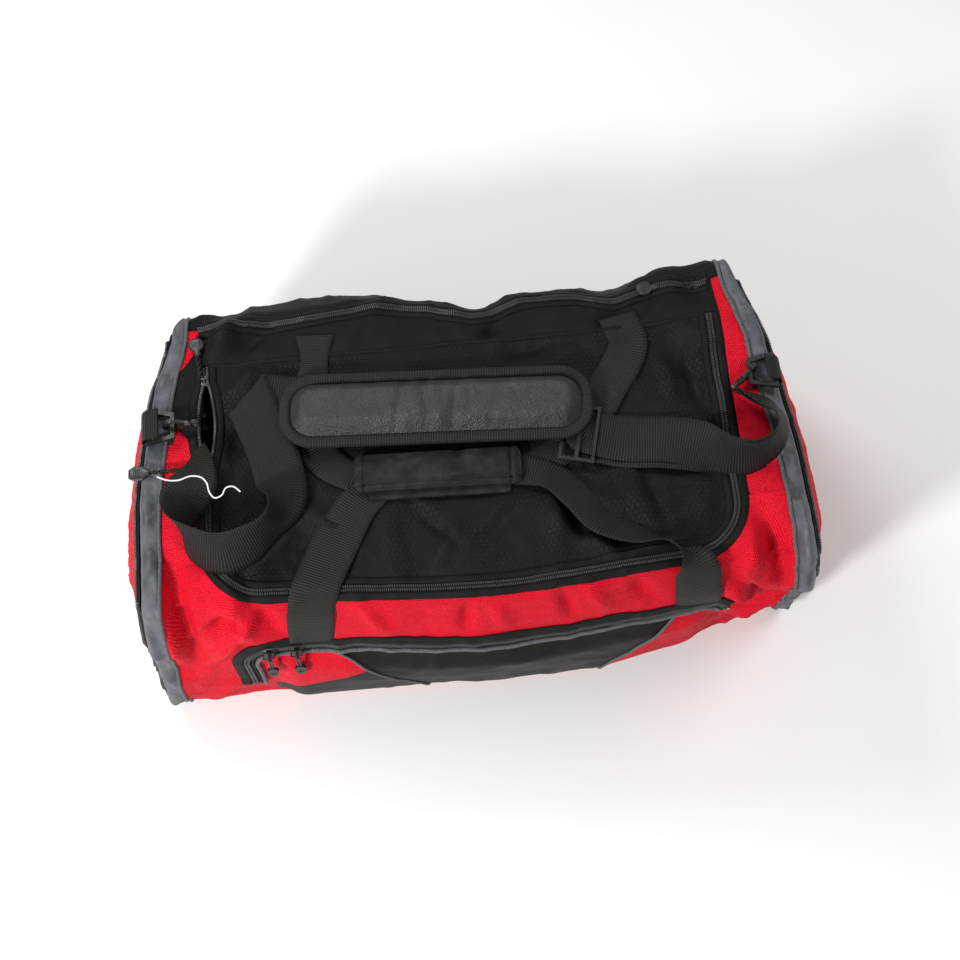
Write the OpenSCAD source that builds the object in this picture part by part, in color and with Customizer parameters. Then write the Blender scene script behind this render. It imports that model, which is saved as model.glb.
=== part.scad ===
// Soft sports duffle for hockey kit, with its lid zipped, its end and front
// pockets flat, and its shoulder strap, grab handles and zip pulls as they
// lie on top. Millimetres, +Z up, X along the length, -Y is the front.

/* [Shell] */
// Distance from the middle to each end, at the floor
end_x = 340; // [320:1:360]
// Depth of the shell at the floor
shell_depth = 350; // [330:2:370]
// Height of the closed shell
shell_height = 262; // [250:1:275]
// Thickness of the fabric walls
wall = 3; // [2:0.5:4]
// Inward lean of each end, in degrees
end_lean = 5; // [3:0.5:7]
// Turn of each end that makes the rear narrower, in degrees
end_turn = 4; // [2:0.5:5]

/* [Gussets and piping] */
// Width of the grey gusset band at each end
gusset_width = 18; // [14:1:20]
// Width of the piping beside each gusset
piping_width = 2.5; // [2:0.5:3]
// How far an end pocket stands out of the end
end_pocket_bulge = 16; // [12:1:18]

/* [Lid] */
// Distance from the middle to the lid zip at each side
lid_zip_x = 261; // [258:1:264]
// Distance from the middle forward to the lid zip
lid_zip_front = 150; // [146:1:152]
// Position of the lid's fold line, behind the middle
lid_fold_y = 101; // [95:1:105]
// Radius of the lid's front corners
lid_corner = 52; // [40:2:60]

/* [Front pocket] */
// Left edge of the front pocket
pocket_left = -228; // [-240:2:-220]
// Right edge of the front pocket
pocket_right = 252; // [240:2:260]
// Height of the pocket's zip
pocket_zip_z = 182; // [176:1:188]
// Thickness of the flat front pocket
pocket_thick = 9; // [7:0.5:10]

/* [Straps and pad] */
// Width of the shoulder strap webbing
strap_width = 50; // [46:1:52]
// Thickness of webbing
webbing = 1.6; // [1.2:0.2:1.8]
// Width of the grab handle webbing
handle_width = 46; // [40:1:48]
// Length of the shoulder pad
pad_length = 312; // [290:2:330]
// Width of the shoulder pad
pad_width = 78; // [70:1:84]
// Height of the shoulder pad
pad_height = 21; // [16:1:24]
// Turn of the shoulder pad on the lid, in degrees
pad_turn = -3.5; // [-5:0.5:-2]

/* [Hardware] */
// Height of the middle of each strap ring
ring_z = 273; // [272:0.5:275]
// Width across the teeth of a closed zip
zip_teeth = 8; // [7:0.5:9]
// Length of a zip slider
slider_length = 12; // [10:1:13]

/* [Hidden] */
$fn = 48;

black = "#262523";
red = "#c40f26";
grey = "#62646b";

half_depth = shell_depth / 2;
gap = 0.5;
big = 900;

// Depth and height of the shell's outline, front then rear, taken in by d
function front_chain(d) = [
  [-half_depth + d, 0],
  [-half_depth - 10 + d, 0.28 * shell_height],
  [-half_depth - 8 + d, 0.62 * shell_height],
  [-half_depth + 3 + d, 0.88 * shell_height - d / 2],
  [-half_depth + 14 + d, shell_height - d]
];
function rear_chain(d) = [
  [half_depth - 20 - d, shell_height - d],
  [half_depth - 7 - d, 0.88 * shell_height - d / 2],
  [half_depth + 2 - d, 0.5 * shell_height],
  [half_depth - d, 0]
];
function outline(d) = concat(front_chain(d), rear_chain(d));
// The same, carried on below the floor by 9 so that the floor can cut it
function below(a, b) = a - (b - a) * 9 / (b[1] - a[1]);
function open_outline(d) = let (o = outline(d), n = len(o)) concat(
  [below(o[0], o[1])], [for (i = [1:n - 2]) o[i]], [below(o[n - 1], o[n - 2])]
);
function reversed(list) = [for (i = [len(list) - 1:-1:0]) list[i]];

// Depth of the front wall's outer face at a height
function front_y(z) = lookup(z, [for (p = front_chain(0)) [p[1], p[0]]]);

// Extrudes a depth and height outline along X, from x0 to x1
module along_x(x0, x1) {
  translate([x0, 0, 0])
    rotate([90, 0, 90])
      linear_extrude(x1 - x0)
        children();
}

// Places children in the frame of one end: X outward, Z up the end's face
module at_end(side) {
  mirror([side < 0 ? 1 : 0, 0, 0])
    translate([end_x, 0, 0])
      rotate([0, -end_lean, end_turn])
        children();
}

// Everything further in than d from both ends
module inside_ends(d) {
  intersection() {
    at_end(-1)
      translate([-d - 2 * big, -big, -big])
        cube([2 * big, 2 * big, 2 * big]);
    at_end(1)
      translate([-d - 2 * big, -big, -big])
        cube([2 * big, 2 * big, 2 * big]);
  }
}

module above_floor() {
  translate([-big, -big, 0])
    cube([2 * big, 2 * big, 2 * big]);
}

shell_inset = gusset_width + piping_width + 2 * gap;

module shell_strip(chain_out, chain_in) {
  intersection() {
    along_x(-big / 2, big / 2)
      polygon(concat(chain_out, reversed(chain_in)));
    inside_ends(shell_inset);
  }
}

// ---- shell ---------------------------------------------------------------

module bottom_panel() {
  color(black)
    intersection() {
      translate([-big / 2, -half_depth + wall + 2, 0])
        cube([big, shell_depth - 2 * wall - 4, wall]);
      inside_ends(wall + 2);
    }
}

module base_board() {
  color("#3a3a3a")
    intersection() {
      translate([-big / 2, -half_depth + wall + 6, wall + gap])
        cube([big, shell_depth - 2 * wall - 12, 3]);
      inside_ends(wall + 8);
    }
}

module front_panel() {
  color(red) shell_strip(front_chain(0), front_chain(wall));
}

module rear_panel() {
  color(black) shell_strip(reversed(rear_chain(0)), reversed(rear_chain(wall)));
}

module end_panel(side) {
  color(black)
    intersection() {
      at_end(side)
        along_x(-wall - 1, -1)
          polygon(open_outline(wall + gap));
      above_floor();
    }
}

// A band that follows the outline over the front, top and rear
module arch(x0, x1, d_out, d_in) {
  along_x(x0, x1)
    difference() {
      polygon(open_outline(d_out));
      polygon(open_outline(d_in));
    }
}

module gusset(side) {
  color(grey)
    intersection() {
      at_end(side) arch(-gusset_width, 0, 0, wall);
      above_floor();
    }
}

module piping(side) {
  color("#77787a")
    intersection() {
      at_end(side)
        arch(-gusset_width - gap - piping_width, -gusset_width - gap, -1, wall);
      above_floor();
    }
}

zip_rise = 3.5;

module end_zip(side) {
  color(black)
    intersection() {
      at_end(side) arch(gap, gap + zip_rise, 4, 4 + zip_teeth);
      above_floor();
    }
}

module end_pocket(side) {
  color(red)
    intersection() {
      at_end(side)
        along_x(gap, end_pocket_bulge)
          polygon(open_outline(zip_teeth + 5));
      above_floor();
    }
}

band_z = shell_height - wall + 0.5;

module top_band(side) {
  corner_x = lid_zip_x - lid_corner;
  color(red)
    intersection() {
      translate([0, 0, band_z - wall / 2])
        linear_extrude(wall / 2 + 1)
          difference() {
            translate([side > 0 ? corner_x : -big, -half_depth + 17.5])
              square([big - corner_x, shell_depth - 41.5]);
            lid_outline(zip_teeth / 2 + 6);
            translate([-lid_zip_x - 12, 0])
              square([2 * lid_zip_x + 24, big]);
          }
      inside_ends(shell_inset);
    }
}

module rear_top_strip() {
  color(black)
    intersection() {
      translate([-big / 2, lid_fold_y + 3, band_z - wall / 2])
        cube([big, rear_zip_y - 16 - lid_fold_y, wall / 2 + 1]);
      translate([-lid_zip_x - 12, 0, 0])
        cube([2 * lid_zip_x + 24, big, big]);
    }
}

// ---- zips ----------------------------------------------------------------

// One half of a zip, length long, on the +Y side of its centre line
module zip_half(length) {
  tooth = zip_teeth / 2 - 1;
  translate([-length / 2, 1, -tooth / 2])
    cube([length, tooth, tooth]);
  translate([-length / 2, 1 + tooth - 0.1, -gap])
    cube([length, 6, 2 * gap]);
}

plate_top = 3.7;
bar_thick = 1.2;
pull_rise = 7.4;

// A slider on the centre line. half_only leaves out the -Y side, and
// pull_across sets the bridge for a pull square to the zip.
module slider_shape(half_only = false, pull_across = false) {
  plate_y = half_only ? -0.6 : -zip_teeth / 2 - 0.5;
  plate_w = zip_teeth / 2 + 0.5 - plate_y;
  for (z = [-plate_top, plate_top - 1.6])
    translate([-slider_length / 2, plate_y, z])
      cube([slider_length, plate_w, 1.6]);
  translate([-2.5, -0.6, -3])
    cube([5, 1.2, 6]);
  translate([0, plate_y + plate_w / 2, plate_top - 0.1])
    rotate([0, 0, pull_across ? 90 : 0])
      slider_bridge(pull_across ? slider_length : plate_w);
}

// The bridge that a pull hangs on: a bar along Y on two legs
module slider_bridge(span) {
  leg = 1;
  rise = pull_rise + bar_thick / 2 - plate_top + 0.1;
  difference() {
    translate([-bar_thick / 2, -span / 2, 0])
      cube([bar_thick, span, rise]);
    translate([-big / 2, -span / 2 + leg, -1])
      cube([big, span - 2 * leg, rise + 1 - bar_thick]);
  }
}

// A pull along +X from its hinge: wire link, doubled cord and moulded tab
module puller_shape(reach, tab_l = 20, tab_w = 13) {
  link_r = 2.7;
  translate([1, 0, 0])
    rotate([90, 0, 0])
      rotate_extrude()
        translate([link_r, 0])
          circle(r = 0.7);
  cord_start = link_r + 0.4;
  for (y = [-1.3, 1.3])
    translate([cord_start, y, 0])
      rotate([0, 90, 0])
        cylinder(r = 1.1, h = reach - tab_l - cord_start + 2);
  translate([reach - tab_l, 0, 0])
    difference() {
      union() {
        translate([tab_w / 2 - 1, -tab_w / 2 + 1.5, -1.6])
          cube([tab_l - tab_w + 1, tab_w - 3, 3.2]);
        translate([tab_w / 2, 0, -1.6])
          cylinder(d = tab_w, h = 3.2);
        translate([tab_l - tab_w / 2, 0, -1.6])
          cylinder(d = tab_w - 3, h = 3.2);
      }
      translate([tab_l / 2, 0, 1])
        cylinder(d = tab_w / 2.4, h = 2);
    }
}

// Outline of the lid opening, taken out by d all round its front and sides
module lid_outline(d) {
  half = lid_zip_x + d;
  front = lid_zip_front + d;
  r = lid_corner + d;
  translate([-half, -front + r])
    square([2 * half, front - r + lid_fold_y]);
  translate([-half + r, -front])
    square([2 * half - 2 * r, front]);
  for (x = [-half + r, half - r])
    translate([x, -front + r])
      circle(r = r, $fn = 96);
}

module lid_ring(d_out, d_in) {
  difference() {
    lid_outline(d_out);
    lid_outline(d_in);
    translate([-lid_zip_x + 16, 0])
      square([2 * lid_zip_x - 32, big]);
  }
}

zip_z = shell_height;

module lid_panel() {
  color("#2b2a29")
    translate([0, 0, zip_z - 2])
      linear_extrude(wall)
        difference() {
          lid_outline(-8);
          translate([-big / 2, lid_fold_y - 1])
            square([big, 9]);
        }
}

tooth_w = zip_teeth / 2 - 1;

module lid_zip_edge() {
  color(black) {
    translate([0, 0, zip_z - tooth_w / 2])
      linear_extrude(tooth_w)
        difference() {
          lid_ring(-1, -1 - tooth_w);
          translate([-big / 2, lid_fold_y - 5])
            square([big, 20]);
        }
    translate([0, 0, zip_z - gap])
      linear_extrude(2 * gap)
        difference() {
          lid_ring(-tooth_w - 0.9, -7.5);
          translate([-big / 2, lid_fold_y - 5])
            square([big, 20]);
        }
  }
}

module lid_zip_rim() {
  color(black) {
    translate([0, 0, zip_z - tooth_w / 2])
      linear_extrude(tooth_w)
        lid_ring(1 + tooth_w, 1);
    translate([0, 0, zip_z - gap])
      linear_extrude(2 * gap)
        lid_ring(tooth_w + 6, tooth_w + 0.9);
  }
}

// Frame of a point on the lid zip's left side: X rearward, Y outward
module at_lid_zip(y) {
  translate([-lid_zip_x, y, zip_z])
    rotate([0, 0, 90])
      children();
}

lid_rear_slider_y = 84;
lid_side_slider_y = -16;

module lid_rear_slider() {
  color("#1c1c1c") at_lid_zip(lid_rear_slider_y) slider_shape(true);
}

module lid_side_slider() {
  color("#1c1c1c") at_lid_zip(lid_side_slider_y) slider_shape(true, true);
}

half_slider_x = -lid_zip_x - zip_teeth / 4 + 0.05;

module lid_rear_puller() {
  color("#3d3f3e")
    translate([half_slider_x, lid_rear_slider_y, zip_z + pull_rise])
      rotate([0, 0, 97])
        puller_shape(50);
}

module lid_side_puller() {
  color("#3d3f3e")
    translate([half_slider_x, lid_side_slider_y, zip_z + pull_rise])
      rotate([0, 0, 180])
        puller_shape(78, 22, 16);
}

rear_zip_y = 144;
rear_zip_half = 268;

module rear_zip() {
  color(black)
    translate([0, rear_zip_y, zip_z])
      for (turn = [0, 180])
        rotate([0, 0, turn]) zip_half(2 * rear_zip_half);
}

rear_slider_x = 252;

module rear_slider() {
  color("#1c1c1c") translate([rear_slider_x, rear_zip_y, zip_z]) slider_shape();
}

module rear_puller() {
  color("#3d3f3e")
    translate([rear_slider_x, rear_zip_y, zip_z + pull_rise])
      rotate([0, 0, 181]) puller_shape(60, 22, 16);
}

// ---- front pocket ----------------------------------------------------------

// A slab that follows the front wall, off outward from it
module front_slab(x0, x1, z0, z1, off, thick) {
  bends = [for (p = front_chain(0)) if (p[1] > z0 && p[1] < z1) p[1]];
  heights = concat([z0], bends, [z1]);
  along_x(x0, x1)
    polygon(concat(
      [for (z = heights) [front_y(z) - off, z]],
      reversed([for (z = heights) [front_y(z) - off - thick, z]])
    ));
}

pocket_bottom = 16;
pocket_top = pocket_zip_z - zip_teeth / 2 - 10;
patch_left = -128;
patch_right = 138;

module front_pocket_face() {
  color(black)
    front_slab(patch_left + gap, patch_right - gap, pocket_bottom, pocket_top, gap, pocket_thick);
}

module front_pocket_patches() {
  color(red) {
    front_slab(pocket_left, patch_left, pocket_bottom, pocket_top, gap, pocket_thick);
    front_slab(patch_right, pocket_right, pocket_bottom, pocket_top, gap, pocket_thick);
  }
}

module front_pocket_piping() {
  color("#77787a")
    front_slab(pocket_left, pocket_right, pocket_top + gap, pocket_top + gap + 3, gap, pocket_thick + 1);
}

// Angle of the front wall's face at the pocket zip
zip_face = 90 - atan2(front_y(pocket_zip_z + 10) - front_y(pocket_zip_z - 10), 20);
pocket_zip_off = 7;

module at_pocket_zip(x) {
  translate([x, front_y(pocket_zip_z) - pocket_zip_off, pocket_zip_z])
    rotate([zip_face, 0, 0])
      children();
}

module front_pocket_zip() {
  middle = (pocket_left + pocket_right) / 2;
  color(black)
    at_pocket_zip(middle)
      for (turn = [0, 180])
        rotate([0, 0, turn]) zip_half(pocket_right - pocket_left);
}

slider_a_x = pocket_left + 10;
slider_b_x = slider_a_x + 28;

module pocket_slider(x) {
  color("#1c1c1c") at_pocket_zip(x) slider_shape(false, true);
}

module pocket_puller(x) {
  color("#3d3f3e")
    at_pocket_zip(x)
      translate([0, 0, pull_rise])
        rotate([0, 0, -90]) puller_shape(40, 18, 12);
}

// ---- end sliders -----------------------------------------------------------

end_slider_z = 60;
end_slider_y = half_depth - 5.5;
end_plate_rise = 2;

// Frame of an end slider: X down the zip, Y rearward, Z out of the end
module at_end_slider(side) {
  at_end(side)
    translate([gap + zip_rise, end_slider_y, end_slider_z])
      rotate([0, 90, 0])
        children();
}

module end_slider(side) {
  color("#1c1c1c")
    at_end_slider(side) {
      translate([-slider_length / 2, -4, end_plate_rise - 1.6])
        cube([slider_length, 8, 1.6]);
      translate([0, 0, end_plate_rise - 0.1])
        slider_bridge(8);
    }
}

module end_puller(side) {
  color("#3d3f3e")
    at_end_slider(side)
      translate([0, 0, end_plate_rise + pull_rise - plate_top])
        puller_shape(36, 18, 9);
}

// ---- strap rings and hooks ---------------------------------------------------

ring_y = 32;
ring_out = 321;
ring_in = 292;
ring_bar = 4;
tab_x = ring_out - ring_bar / 2;
tab_half = 13;

module ring_tab(side) {
  loop_r = 6.5;
  color(black)
    mirror([side < 0 ? 1 : 0, 0, 0])
      difference() {
        union() {
          translate([tab_x, ring_y + tab_half, ring_z])
            rotate([90, 0, 0]) cylinder(r = loop_r, h = 2 * tab_half);
          translate([tab_x - loop_r, ring_y - tab_half, shell_height + gap])
            cube([2 * loop_r, 2 * tab_half, ring_z - shell_height - 4]);
        }
        translate([tab_x, ring_y + 20, ring_z])
          rotate([90, 0, 0]) cylinder(r = loop_r - webbing, h = 40);
      }
}

module strap_ring(side) {
  color("#161616")
    mirror([side < 0 ? 1 : 0, 0, 0])
      translate([0, ring_y, ring_z - ring_bar / 2])
        linear_extrude(ring_bar)
          difference() {
            polygon([[ring_out, -20], [ring_out, 20], [ring_in, 14], [ring_in, -14]]);
            polygon([
              [ring_out - ring_bar, -15.6], [ring_out - ring_bar, 15.6],
              [ring_in + ring_bar, 10.2], [ring_in + ring_bar, -10.2]
            ]);
          }
}

hook_x = ring_in + ring_bar / 2;
hook_rise = 1.5;

// Frame of a hook: X from the strap ring towards the webbing, Z up
module at_hook(side) {
  yaw = side < 0 ? 0 : 220;
  translate([side * hook_x, ring_y, ring_z + hook_rise])
    rotate([0, 0, yaw])
      children();
}

hook_r = 10;
hook_hole = 6.5;
hook_thick = 5;

module hook_body(side) {
  color("#161616")
    at_hook(side)
      rotate([90, 0, 0])
        translate([0, 0, -hook_thick / 2])
          linear_extrude(hook_thick)
            difference() {
              union() {
                circle(r = hook_r);
                translate([7, -4])
                  square([9, 6.4]);
              }
              circle(r = hook_hole);
              translate([1, 2.4])
                square([14, 12]);
            }
}

gate_x = 10.6;
gate_z = 4.6;

module hook_gate(side) {
  tip_x = 2.4;
  tip_z = 8.2;
  reach = norm([gate_x - tip_x, tip_z - gate_z]);
  color("#2a2a2a")
    at_hook(side)
      translate([gate_x, 0, gate_z])
        rotate([90, 0, 0]) {
          translate([0, 0, -1.6])
            cylinder(r = 1.5, h = 3.2);
          rotate([0, 0, 180 - atan2(tip_z - gate_z, gate_x - tip_x)])
            translate([0, -1.1, -1.6])
              cube([reach, 2.2, 3.2]);
        }
}

eye_x = 22.6;
eye_r = 5.8;

module hook_eye(side) {
  color("#161616")
    at_hook(side) {
      translate([16.3, 0, -0.8])
        rotate([0, 90, 0]) cylinder(r = 2.8, h = 2);
      translate([eye_x, 0, -0.8])
        rotate([90, 0, 0])
          translate([0, 0, -1.8])
            difference() {
              cylinder(r = eye_r, h = 3.6);
              translate([0, 0, -1])
                cylinder(r = eye_r - 2.2, h = 6);
            }
    }
}

// ---- webbing -----------------------------------------------------------------

// Points of a smooth curve through a list of points
function spline_point(p, i, t) = let (
  a = p[max(i - 1, 0)], b = p[i], c = p[i + 1], d = p[min(i + 2, len(p) - 1)]
) 0.5 * (2 * b + (c - a) * t + (2 * a - 5 * b + 4 * c - d) * t * t
  + (3 * b - a - 3 * c + d) * t * t * t);
function smooth(p, steps) = concat(
  [for (i = [0:len(p) - 2], k = [0:steps - 1]) spline_point(p, i, k / steps)],
  [p[len(p) - 1]]
);
function unit(v) = v / norm(v);
function tangent(p, i) = unit(p[min(i + 1, len(p) - 1)] - p[max(i - 1, 0)]);
function square_to(v, t) = unit(v - t * (v * t));

// Flat webbing swept along path. across gives its width direction at each
// point and widths its width there.
module ribbon(path, across, widths, thick = webbing) {
  n = len(path);
  ring = [for (i = [0:n - 1]) let (
    t = tangent(path, i), u = square_to(across[i], t), v = cross(t, u),
    w = widths[i] / 2, h = thick / 2
  ) [path[i] + u * w + v * h, path[i] - u * w + v * h,
     path[i] - u * w - v * h, path[i] + u * w - v * h]];
  points = [for (r = ring) each r];
  sides = [for (i = [0:n - 2], k = [0:3]) let (
    a = 4 * i + k, b = 4 * i + (k + 1) % 4
  ) each [[a, b, b + 4], [a, b + 4, a + 4]]];
  ends = [[3, 2, 1], [3, 1, 0],
          [4 * n - 4, 4 * n - 3, 4 * n - 2], [4 * n - 4, 4 * n - 2, 4 * n - 1]];
  polyhedron(points, concat(sides, ends));
}

// route rows are [point, width direction, width]
module route_ribbon(route, steps) {
  path = smooth([for (r = route) r[0]], steps);
  across = smooth([for (r = route) r[1]], steps);
  widths = smooth([for (r = route) r[2]], steps);
  color(black) ribbon(path, across, widths);
}

lid_top = zip_z - 2 + wall;
rear_handle_z = lid_top + 1.6;
front_handle_z = rear_handle_z + 2.2;
strap_z = front_handle_z + 2.6;
adjuster_z = strap_z + 1.6;
pad_z = adjuster_z + 4;

flat_y = [0, 1, 0];
flat_x = [1, 0, 0];

// The strap under the pad lies along the pad's own line
pad_centre = [-27, 23];

module at_pad() {
  translate([pad_centre[0], pad_centre[1], 0])
    rotate([0, 0, pad_turn])
      children();
}

module strap_middle() {
  color(black)
    at_pad()
      translate([-pad_length / 2 + 24, -strap_width / 2, strap_z - webbing / 2])
        cube([pad_length - 40, strap_width, webbing]);
}

left_route = [
  [[-165, 31, strap_z], [-0.06, 1, 0], strap_width],
  [[-190, 33, strap_z + 0.5], [-0.3, 1, 0], strap_width],
  [[-207, 14, strap_z + 2.5], [-1, 0.2, 0], strap_width],
  [[-200, -24, strap_z + 5], [-1, 0, 0.1], strap_width],
  [[-188, -66, strap_z + 11], [-0.9, -0.1, 0.45], strap_width],
  [[-196, -106, strap_z + 18], [-0.6, 0.2, 0.8], strap_width],
  [[-232, -126, strap_z + 21], [0, 0.4, 1], strap_width],
  [[-272, -108, strap_z + 21], [0.3, 0.2, 1], strap_width],
  [[-290, -62, strap_z + 20], [0.5, 0, 0.9], 46],
  [[-285, -20, strap_z + 18], [0.8, -0.2, 0.6], 30],
  [[-272, 6, strap_z + 11], [1, -0.3, 0.1], 13],
  [[-270, 21, strap_z + 6], [1, -0.2, 0], 8]
];

module strap_left_loop() {
  route_ribbon(left_route, 4);
}

right_route = [
  [[122, -20, strap_z], [0.7, 1, 0], 34],
  [[146, -38, strap_z], [0.3, 1, 0], strap_width],
  [[190, -49, strap_z + 1], [0.1, 1, 0], strap_width],
  [[240, -53, strap_z + 2], [0, 1, 0], strap_width],
  [[286, -52, strap_z + 2], [0, 1, 0], 44],
  [[318, -46, strap_z + 6], [-0.4, 1, 0], 36],
  [[327, -36, strap_z + 14], [-1, -0.1, 0], 26],
  [[312, -26, strap_z + 22], [-0.5, -0.9, 0], 20],
  [[290, -16, strap_z + 20], [-0.5, -0.9, 0], 14],
  [[275, -4, strap_z + 12], [-0.7, -0.7, 0], 8],
  [[268, 7, strap_z + 6], [-0.8, -0.5, 0], 6]
];

module strap_right_loop() {
  route_ribbon(right_route, 4);
}

adjuster_centre = [114, -18];

module strap_adjuster() {
  bar = 3.6;
  long = strap_width + 12;
  wide = 36;
  color("#161616")
    translate([adjuster_centre[0], adjuster_centre[1], adjuster_z])
      rotate([0, 0, -14])
        linear_extrude(2.6)
          difference() {
            square([wide, long], center = true);
            for (x = [-wide / 4 + 0.4, wide / 4 - 0.4])
              translate([x, 0])
                square([wide / 2 - 1.5 * bar + 0.6, long - 2 * bar], center = true);
          }
}

module rounded_slab(l, w, r, h) {
  translate([-l / 2 + r, -w / 2, 0])
    cube([l - 2 * r, w, h]);
  translate([-l / 2, -w / 2 + r, 0])
    cube([l, w - 2 * r, h]);
  for (x = [-l / 2 + r, l / 2 - r], y = [-w / 2 + r, w / 2 - r])
    translate([x, y, 0])
      cylinder(r = r, h = h);
}

binding = 9;

module shoulder_pad() {
  color("#4a4c4b")
    at_pad()
      translate([0, 0, pad_z])
        rounded_slab(pad_length - 2 * binding, pad_width - 2 * binding, 21, pad_height);
}

module pad_binding() {
  color(black)
    at_pad()
      translate([0, 0, pad_z + 1])
        difference() {
          rounded_slab(pad_length, pad_width, 29, 8);
          translate([0, 0, -1])
            rounded_slab(pad_length - 2 * binding + 1, pad_width - 2 * binding + 1, 21.5, 12);
        }
}

edge_top = shell_height + 4;

front_handle_route = [
  [[-170, front_y(200) - 3.4, 200], flat_x, handle_width],
  [[-168, front_y(232) - 3.4, 232], flat_x, handle_width],
  [[-164, front_y(250) - 4, 257], flat_x, handle_width],
  [[-158, -154, edge_top + 1.4], flat_x, handle_width],
  [[-138, -112, front_handle_z], [1, -0.4, 0], handle_width],
  [[-108, -66, front_handle_z], [1, -0.7, 0], handle_width - 6],
  [[-66, -43, front_handle_z], [0.2, -1, 0], handle_width - 14],
  [[0, -44, front_handle_z], [0, -1, 0], handle_width - 14],
  [[64, -50, front_handle_z], [-0.2, -1, 0], handle_width - 14],
  [[112, -78, front_handle_z], [-0.7, -1, 0], handle_width - 8],
  [[164, -120, front_handle_z], [-1, -0.7, 0], handle_width - 4],
  [[204, -154, edge_top + 1.4], [-1, -0.2, 0], handle_width],
  [[213, front_y(250) - 4, 257], [-1, 0, 0], handle_width],
  [[216, front_y(232) - 3.4, 232], [-1, 0, 0], handle_width],
  [[218, front_y(200) - 3.4, 200], [-1, 0, 0], handle_width]
];

module front_handle() {
  route_ribbon(front_handle_route, 3);
}

rear_handle_route = [
  [[-142, 128, rear_handle_z + 0.2], flat_x, handle_width - 6],
  [[-144, 96, rear_handle_z], flat_x, handle_width - 6],
  [[-150, 44, rear_handle_z], flat_x, handle_width - 6],
  [[-150, -4, rear_handle_z], [1, 0.4, 0], handle_width - 6],
  [[-118, -38, rear_handle_z], [0.4, 1, 0], handle_width - 14],
  [[-60, -50, rear_handle_z], [0, 1, 0], handle_width - 14],
  [[0, -50, rear_handle_z], [0, 1, 0], handle_width - 14],
  [[60, -46, rear_handle_z], [-0.1, 1, 0], handle_width - 14],
  [[116, -14, rear_handle_z], [-0.8, 1, 0], handle_width - 10],
  [[158, 40, rear_handle_z], [-1, 0.4, 0], handle_width - 6],
  [[174, 92, rear_handle_z], [-1, 0, 0], handle_width - 6],
  [[174, 128, rear_handle_z + 0.2], [-1, 0, 0], handle_width - 6]
];

module rear_handle() {
  route_ribbon(rear_handle_route, 3);
}

wrap_centre = [-31, -48];
wrap_length = 166;
wrap_width = 42;
wrap_turn = -2;
wrap_z = front_handle_z + webbing / 2 + gap;

module at_wrap() {
  translate([wrap_centre[0], wrap_centre[1], wrap_z])
    rotate([0, 0, wrap_turn])
      children();
}

module wrap_base() {
  color("#2f3030")
    at_wrap() rounded_slab(wrap_length - 20, wrap_width - 6, 5, 3);
}

module wrap_flap() {
  color("#2f3030")
    at_wrap()
      translate([0, 1, 3 + gap])
        rounded_slab(wrap_length, wrap_width - 3, 8, 12);
}

// ---- loose thread --------------------------------------------------------------

thread_d = 1.6;
thread_sides = 8;
thread_lift = strap_z + 49;
thread_route = [
  [-300, -44, thread_lift], [-290, -49, thread_lift + 1], [-279, -50, thread_lift + 1],
  [-268, -47, thread_lift + 1], [-258, -49, thread_lift + 1], [-252, -56, thread_lift + 1],
  [-250, -65, thread_lift + 1], [-245, -72, thread_lift + 1], [-238, -70, thread_lift + 1],
  [-234, -63, thread_lift + 1], [-227, -62, thread_lift + 1], [-220, -68, thread_lift + 1]
];

module tag_thread() {
  path = smooth(thread_route, 3);
  n = len(path);
  r = thread_d / 2;
  points = [for (i = [0:n - 1]) let (
    t = tangent(path, i), u = square_to([0, 0, 1], t), v = cross(t, u)
  ) each [for (k = [0:thread_sides - 1]) let (a = 360 * k / thread_sides)
    path[i] + r * (cos(a) * u + sin(a) * v)]];
  sides = [for (i = [0:n - 2], k = [0:thread_sides - 1]) let (
    a = thread_sides * i + k, b = thread_sides * i + (k + 1) % thread_sides
  ) each [[a, b + thread_sides, b], [a, a + thread_sides, b + thread_sides]]];
  first = [for (k = [0:thread_sides - 1]) k];
  last = reversed([for (k = [0:thread_sides - 1]) thread_sides * (n - 1) + k]);
  color("white") polyhedron(points, concat(sides, [first, last]));
}

bottom_panel();
base_board();
front_panel();
rear_panel();
end_panel(-1);  // left_end_panel
end_panel(1);  // right_end_panel
top_band(-1);  // left_top_band
top_band(1);  // right_top_band
rear_top_strip();
gusset(-1);  // left_gusset
gusset(1);  // right_gusset
piping(-1);  // left_piping
piping(1);  // right_piping
end_pocket(-1);  // left_end_pocket
end_pocket(1);  // right_end_pocket
end_zip(-1);  // left_end_zip
end_zip(1);  // right_end_zip
end_slider(-1);  // left_end_slider
end_slider(1);  // right_end_slider
end_puller(-1);  // left_end_puller
end_puller(1);  // right_end_puller
lid_panel();
lid_zip_edge();
lid_zip_rim();
lid_rear_slider();
lid_rear_puller();
lid_side_slider();
lid_side_puller();
rear_zip();
rear_slider();
rear_puller();
front_pocket_face();
front_pocket_patches();
front_pocket_piping();
front_pocket_zip();
pocket_slider(slider_a_x);  // pocket_slider_a
pocket_puller(slider_a_x);  // pocket_puller_a
pocket_slider(slider_b_x);  // pocket_slider_b
pocket_puller(slider_b_x);  // pocket_puller_b
ring_tab(-1);  // left_ring_tab
ring_tab(1);  // right_ring_tab
strap_ring(-1);  // left_ring
strap_ring(1);  // right_ring
hook_body(-1);  // left_hook
hook_body(1);  // right_hook
hook_gate(-1);  // left_hook_gate
hook_gate(1);  // right_hook_gate
hook_eye(-1);  // left_hook_eye
hook_eye(1);  // right_hook_eye
shoulder_pad();
pad_binding();
strap_middle();
strap_left_loop();
strap_right_loop();
strap_adjuster();
front_handle();
rear_handle();
wrap_base();
wrap_flap();
tag_thread();
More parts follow.
